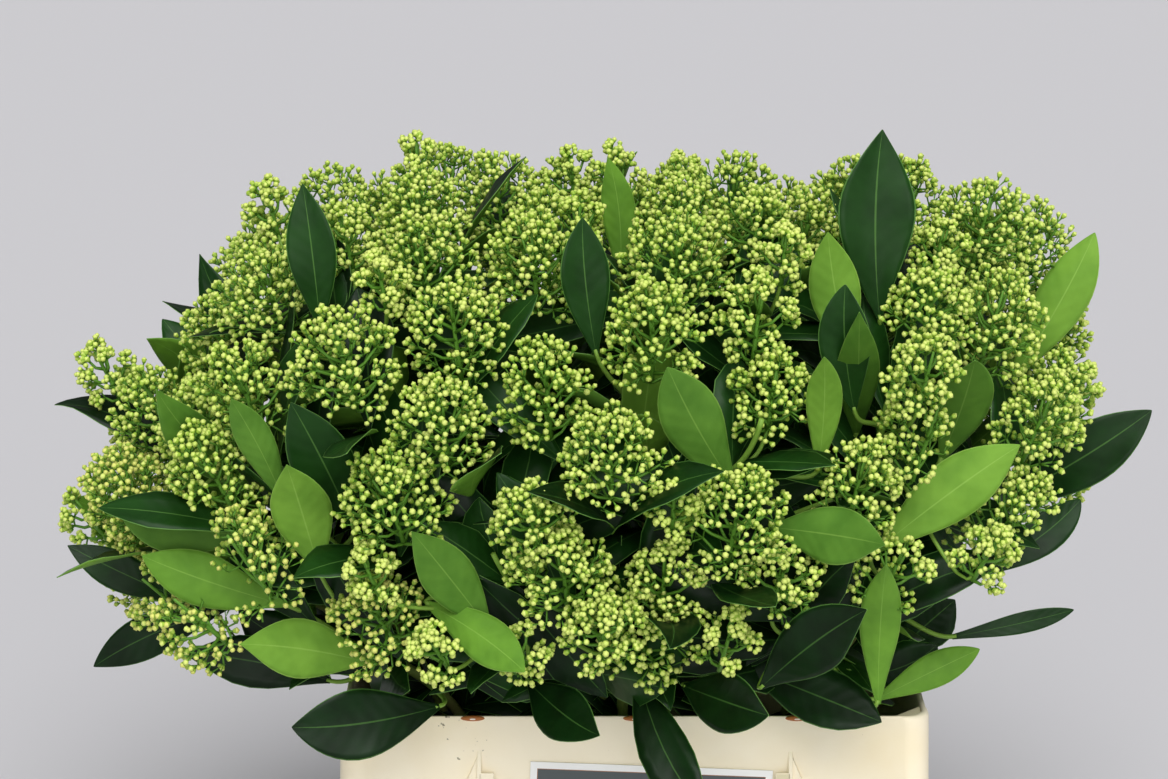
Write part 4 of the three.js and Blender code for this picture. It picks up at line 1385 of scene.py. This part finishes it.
bucket = {
    "foot": (336, 240), "rim": (394, 294), "skirt": (400, 300), "height": 250, "corner": 14, "pillar": 4,
    "panel": 1.5,
    # the two darker ivories after the speck are painted shade, for the webs in the inner corners under the
    # rim
    "ivory": "#fbf0d6", "yellowed": "#f6e8c6", "speck": "#7a7058", "cornerShade": "#cdc39e", "cornerShadeHigh": "#e0d6b2",
    # the whitish middle of each rim pad is a painted highlight; the brown ring round it is a stain
    "stain": "#a8642c", "padHighlight": "#f4efe2",
    "padsAt": (-108, 0, 108),
}
cardSizes = {"width": 162, "height": 100, "thickness": 0.8, "across": 9.4, "middle": 165.5, "skew": 2.3,
             "slope": 3 / 138, "clear": 0.4, "border": 6.5, "lowBorder": 10, "ruled": 0.7,
             "white": "#f3f3f1", "field": "#4d5456", "line": "#9a6a4a"}


def grown(size, by):
    return size[0] + 2 * by, size[1] + 2 * by


def bucketOutline(size, panelDepth, arcSteps=8):
    # a rounded rectangle with a shallow sunk panel in each side, counter-clockwise from the front right
    corner, pillar = bucket["corner"], bucket["pillar"]
    groove = pillar + panelDepth + 0.5
    arcs = []
    for quarter, (sx, sy) in enumerate([(1, -1), (1, 1), (-1, 1), (-1, -1)]):
        angles = np.radians(90 * (quarter - 1 + np.arange(arcSteps + 1) / arcSteps))
        centre = array([sx * (size[0] / 2 - corner), sy * (size[1] / 2 - corner)])
        arcs.append(centre + corner * np.column_stack([np.cos(angles), np.sin(angles)]))
    points = []
    for quarter in range(4):
        start, end = arcs[quarter][-1], arcs[(quarter + 1) % 4][0]
        along = unit(end - start)
        inward = array([-along[1], along[0]])
        points += [*arcs[quarter], start + along * pillar, start + along * groove + inward * panelDepth,
                   end - along * groove + inward * panelDepth, end - along * pillar]
    return points


def bucketLevels():
    # height, size and depth of the sunk panels: up the outside, over the skirt and lip, down the inside
    foot, rim, skirt = bucket["foot"], bucket["rim"], bucket["skirt"]
    inside = grown(rim, -5)
    return [
        (0, grown(foot, 0.6), 0), (0.6, grown(foot, 1.4), 0), (4, grown(foot, 4), 0),
        (222, grown(inside, 1), 0), (222, grown(rim, -1.5), 0), (112, grown(skirt, -3), 0),
        (112, grown(skirt, -0.5), 1.5), (112.6, skirt, 1.5), (180, grown(rim, 1.5), 1.5), (246, rim, 1.5),
        (248, grown(rim, -0.25), 1.25), (249.3, grown(rim, -0.9), 0.6), (250, grown(rim, -1.8), 0),
        (250, grown(rim, -3.4), 0), (249.3, grown(rim, -4.3), 0), (248, grown(rim, -4.8), 0),
        (246, inside, 0), (120, grown(foot, 10), 0), (10, grown(foot, -1), 0), (6, grown(foot, -5), 0),
    ]


def addBox(bm, low, high, taper=None, rounding=0.6):
    # a box between two corners with rounded edges; taper moves its corners before they are rounded
    made = bmesh.ops.create_cube(bm, size=1)["verts"]
    low, high = array(low, float), array(high, float)
    for v in made:
        share = array(v.co) + 0.5
        place = low + (high - low) * share
        v.co = Vector(taper(place, share) if taper else place)
    edges = [e for e in bm.edges if e.verts[0] in made]
    bmesh.ops.bevel(bm, geom=edges, affect="EDGES", offset=rounding, segments=2, profile=0.5, material=-1)


def cardHolders(bm):
    # a fin on either side of the card that grows out of the panel, with a ramp outside and a lug inside
    face = -(bucket["rim"][1] / 2 - bucket["panel"] + 0.5)
    for side in (-1, 1):

        def box(near, far, front, back, low, high, *more):
            near, far = sorted((side * near, side * far))
            addBox(bm, (near, face + front, low), (far, face + back, high), *more)

        def ramp(place, share):
            if share[2] > 0.5 and share[1] < 0.5:
                place[1] = face + 0.2
            return place

        def buttress(place, share):
            if share[2] > 0.5:
                place[0] = side * (102.5 + 1.5 * (share[0] if side > 0 else 1 - share[0]))
            return ramp(place, share)
        box(102.5, 105.5, -5.5, 1, 213, 226, ramp)
        box(102.5, 105.5, -5.5, 1, 165, 213.5)
        box(104, 112, -4, 1, 206, 225, buttress, 0.8)
        box(94, 104, -5.5, -3.8, 165, 212)


def cornerGussets(bm):
    # a low web fills the inside of every upright corner just under the rim
    for sx in (-1, 1):
        for sy in (-1, 1):
            points = [(191.5, 134), (191, 138), (187, 141.5), (183, 142.5), (172, 142.5), (191.5, 123)]
            face = bm.faces.new([bm.verts.new((sx * x, sy * y, 248.6)) for x, y in points])
            lower = bmesh.ops.extrude_face_region(bm, geom=[face])["geom"]
            lower = [v for v in lower if isinstance(v, bmesh.types.BMVert)]
            bmesh.ops.translate(bm, verts=lower, vec=(0, 0, -4))


def ivoryPlastic(name, low, high, size):
    # ivory polypropylene: satin, unevenly yellowed, with small specks of soil; with darker ivories it paints
    # shade
    material = newMaterial(name, {"Roughness": 0.42, "IOR": 1.49})
    ramp = mottle(material, low, high, size, 5.0, (0.3, 0.6))
    tree = material.node_tree
    place = (addNode(tree, "ShaderNodeTexCoord"), "Object")
    spots = addNoise(tree, place, 260.0, 2.0, Roughness=0.6)
    both = addMath(tree, "MULTIPLY", spots, addNoise(tree, place, 14.0, 2.0))
    mask = addNode(tree, "ShaderNodeMapRange", {"From Min": 0.44, "From Max": 0.48}, {"Value": both})
    settings = {"data_type": "RGBA", 7: hexToLinear(bucket["speck"])}
    feed(material, "Base Color", addNode(tree, "ShaderNodeMix", settings, {0: mask, 6: ramp}), 2)
    relief(material, addNoise(tree, place, 700.0, 2.0), 0.00015, 0.35)
    return material


def meshOf(bm, name, scale=mm):
    bmesh.ops.scale(bm, vec=(scale, scale, scale), verts=bm.verts)
    mesh = bpy.data.meshes.new(name)
    bm.to_mesh(mesh)
    bm.free()
    return mesh


def closedMeshOf(bm, name):
    bmesh.ops.recalc_face_normals(bm, faces=bm.faces[:])
    return meshOf(bm, name)


def makeBucket():
    plastic = ivoryPlastic("ivoryPolypropylene", bucket["yellowed"], bucket["ivory"], 0.06)
    # a darker ivory paints shade into the webs in the inner corners under the rim
    cornerShade = ivoryPlastic("cornerShadePolypropylene", bucket["cornerShade"], bucket["cornerShadeHigh"], 0.012)
    bm = bmesh.new()
    levels = bucketLevels()
    rings = [bucketOutline(size, panel) for z, size, panel in levels]
    verts = [bm.verts.new((x, y, levels[0][0])) for x, y in rings[0]]
    edges = [bm.edges.new((verts[i - 1], verts[i])) for i in range(len(verts))]
    bmesh.ops.contextual_create(bm, geom=edges)
    for (z, size, panel), ring in zip(levels[1:], rings[1:]):
        ringGeometry = bmesh.ops.extrude_edge_only(bm, edges=edges)["geom"]
        edges = [g for g in ringGeometry if isinstance(g, bmesh.types.BMEdge)]
        fresh = {v for e in edges for v in e.verts}
        follows = {}
        for v in fresh:
            below = next(e.other_vert(v) for e in v.link_edges if e.other_vert(v) not in fresh)
            follows[below] = v
        verts = [follows[v] for v in verts]
        for v, (x, y) in zip(verts, ring):
            v.co = Vector((x, y, z))
    bmesh.ops.contextual_create(bm, geom=edges)
    cardHolders(bm)
    firstCornerShade = len(bm.faces)
    cornerGussets(bm)
    bm.faces.ensure_lookup_table()
    for face in bm.faces[firstCornerShade:]:
        face.material_index = 1
    mesh = closedMeshOf(bm, "bucketShell")
    mesh.shade_smooth()
    mesh.set_sharp_from_angle(angle=math.radians(38))
    finishPiece("bucketShell", mesh, [plastic, cornerShade], ["bucket"])


def makePads():
    # small whitish spots on the rim, each a painted highlight in a matt brown ring of rust that drips have
    # left
    stain = plainMaterial("rustyStain", 0.7, bucket["stain"])
    # the whitish middle of each pad is a painted highlight
    white = plainMaterial("paintedHighlightPlastic", 0.4, bucket["padHighlight"])
    bm = bmesh.new()
    for side in (-1, 1):
        for x in bucket["padsAt"]:
            for slot, (a, b, c) in enumerate([(8, 1.9, 1.9), (4.2, 2.1, 1.1)]):
                pad = bmesh.ops.create_uvsphere(bm, u_segments=24, v_segments=10, radius=1)["verts"]
                bmesh.ops.scale(bm, vec=(a, b, c), verts=pad)
                bmesh.ops.translate(bm, vec=(x, side * 145.6, 248.8), verts=pad)
                for face in {f for v in pad for f in v.link_faces}:
                    face.material_index = slot
    mesh = closedMeshOf(bm, "rimPads")
    mesh.shade_smooth()
    finishPiece("rimPads", mesh, [stain, white])


def makeCard():
    # smooth coated paper: a white border, a thin brown printed line and a plain dark printed field
    c = cardSizes
    paper = plainMaterial("whiteCardPaper", 0.5, c["white"])
    field = plainMaterial("darkPrintedPaper", 0.42, c["field"])
    line = plainMaterial("brownPrintedLine", 0.45, c["line"])
    bm = bmesh.new()
    bmesh.ops.create_cube(bm, size=1)
    bmesh.ops.scale(bm, vec=(c["width"], c["thickness"], c["height"]), verts=bm.verts)
    front = [f for f in bm.faces if f.normal.y < -0.5]
    bmesh.ops.inset_individual(bm, faces=front, thickness=c["border"], depth=0)
    for v in front[0].verts:
        if v.co.z < 0:
            v.co.z += c["lowBorder"]  # the lower border is the broadest
    bmesh.ops.inset_individual(bm, faces=front, thickness=c["ruled"], depth=0)
    ring = [f for f in bm.faces if f.normal.y < -0.5 and f not in front]
    for f in ring:
        f.material_index = 2 if max(abs(v.co.x) for v in f.verts) < c["width"] / 2 - 1 else 0
    front[0].material_index = 1
    stands = bucket["rim"][1] / 2 + (bucket["height"] - c["middle"]) * c["slope"] - bucket["panel"]
    bmesh.ops.rotate(bm, verts=bm.verts, matrix=Matrix.Rotation(math.radians(c["skew"]), 3, "Y"))
    bmesh.ops.rotate(bm, verts=bm.verts, matrix=Matrix.Rotation(-math.atan(c["slope"]), 3, "X"))
    place = (c["across"], -stands - c["thickness"] / 2 - c["clear"], c["middle"])
    bmesh.ops.translate(bm, verts=bm.verts, vec=place)
    finishPiece("card", closedMeshOf(bm, "card"), [paper, field, line], ["card"])


makeBucket()
makePads()
makeCard()
print("bucket and card made")


# Camera, floor and light

stage = {
    "camera": (-33.9, -2170, 1017.9),
    "pitch": 15,
    "focal": 3236 / 1168,  # of the image's width
    "sensor": 36,
    "farthest": 50,  # metres that the camera sees
    "floor": "#d2d1d4", "floorSize": 15,  # metres from its middle to a side
    "room": "#fbfbff", "roomStrength": 0.2,
    # the way to each softbox, its angle in degrees and its strength
    "softboxes": {"keySoftbox": ((0.08, -0.78, 1.25), 48, 2.3), "fillSoftbox": ((0.1, -1.2, 0.2), 70, 1.9)},
}


def makeStage():
    scene = bpy.context.scene
    camera = bpy.data.objects.new("camera", bpy.data.cameras.new("camera"))
    camera.location = Vector(stage["camera"]) * mm
    camera.rotation_euler = (math.radians(90 - stage["pitch"]), 0, 0)
    camera.data.sensor_width = stage["sensor"]
    camera.data.lens = stage["sensor"] * stage["focal"]
    camera.data.clip_end = stage["farthest"]
    scene.collection.objects.link(camera)
    scene.camera = camera

    bm = bmesh.new()
    bmesh.ops.create_grid(bm, x_segments=1, y_segments=1, size=stage["floorSize"])
    mesh = meshOf(bm, "floor", 1)
    mesh.materials.append(plainMaterial("paleBackdropPaper", 0.9, stage["floor"]))  # matt, without a shine
    floor = bpy.data.objects.new("floor", mesh)
    scene.collection.objects.link(floor)
    floor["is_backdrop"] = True

    world = bpy.data.worlds.new("softRoom")
    world.use_nodes = True
    background = world.node_tree.nodes["Background"]
    background.inputs[0].default_value = hexToLinear(stage["room"])
    background.inputs[1].default_value = stage["roomStrength"]
    scene.world = world
    for name, (toward, angle, strength) in stage["softboxes"].items():
        light = bpy.data.lights.new(name, "SUN")
        light.angle, light.energy = math.radians(angle), strength
        lamp = bpy.data.objects.new(name, light)
        lamp.location = Vector(toward) * 2
        lamp.rotation_euler = Vector(toward).to_track_quat("Z", "Y").to_euler()
        scene.collection.objects.link(lamp)
    scene.view_settings.view_transform = "Standard"


makeStage()
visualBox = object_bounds()
for label, box in (("CAD box", cadBox), ("visual box", visualBox)):
    print(label, [[round(v, 3) for v in c] for c in box])
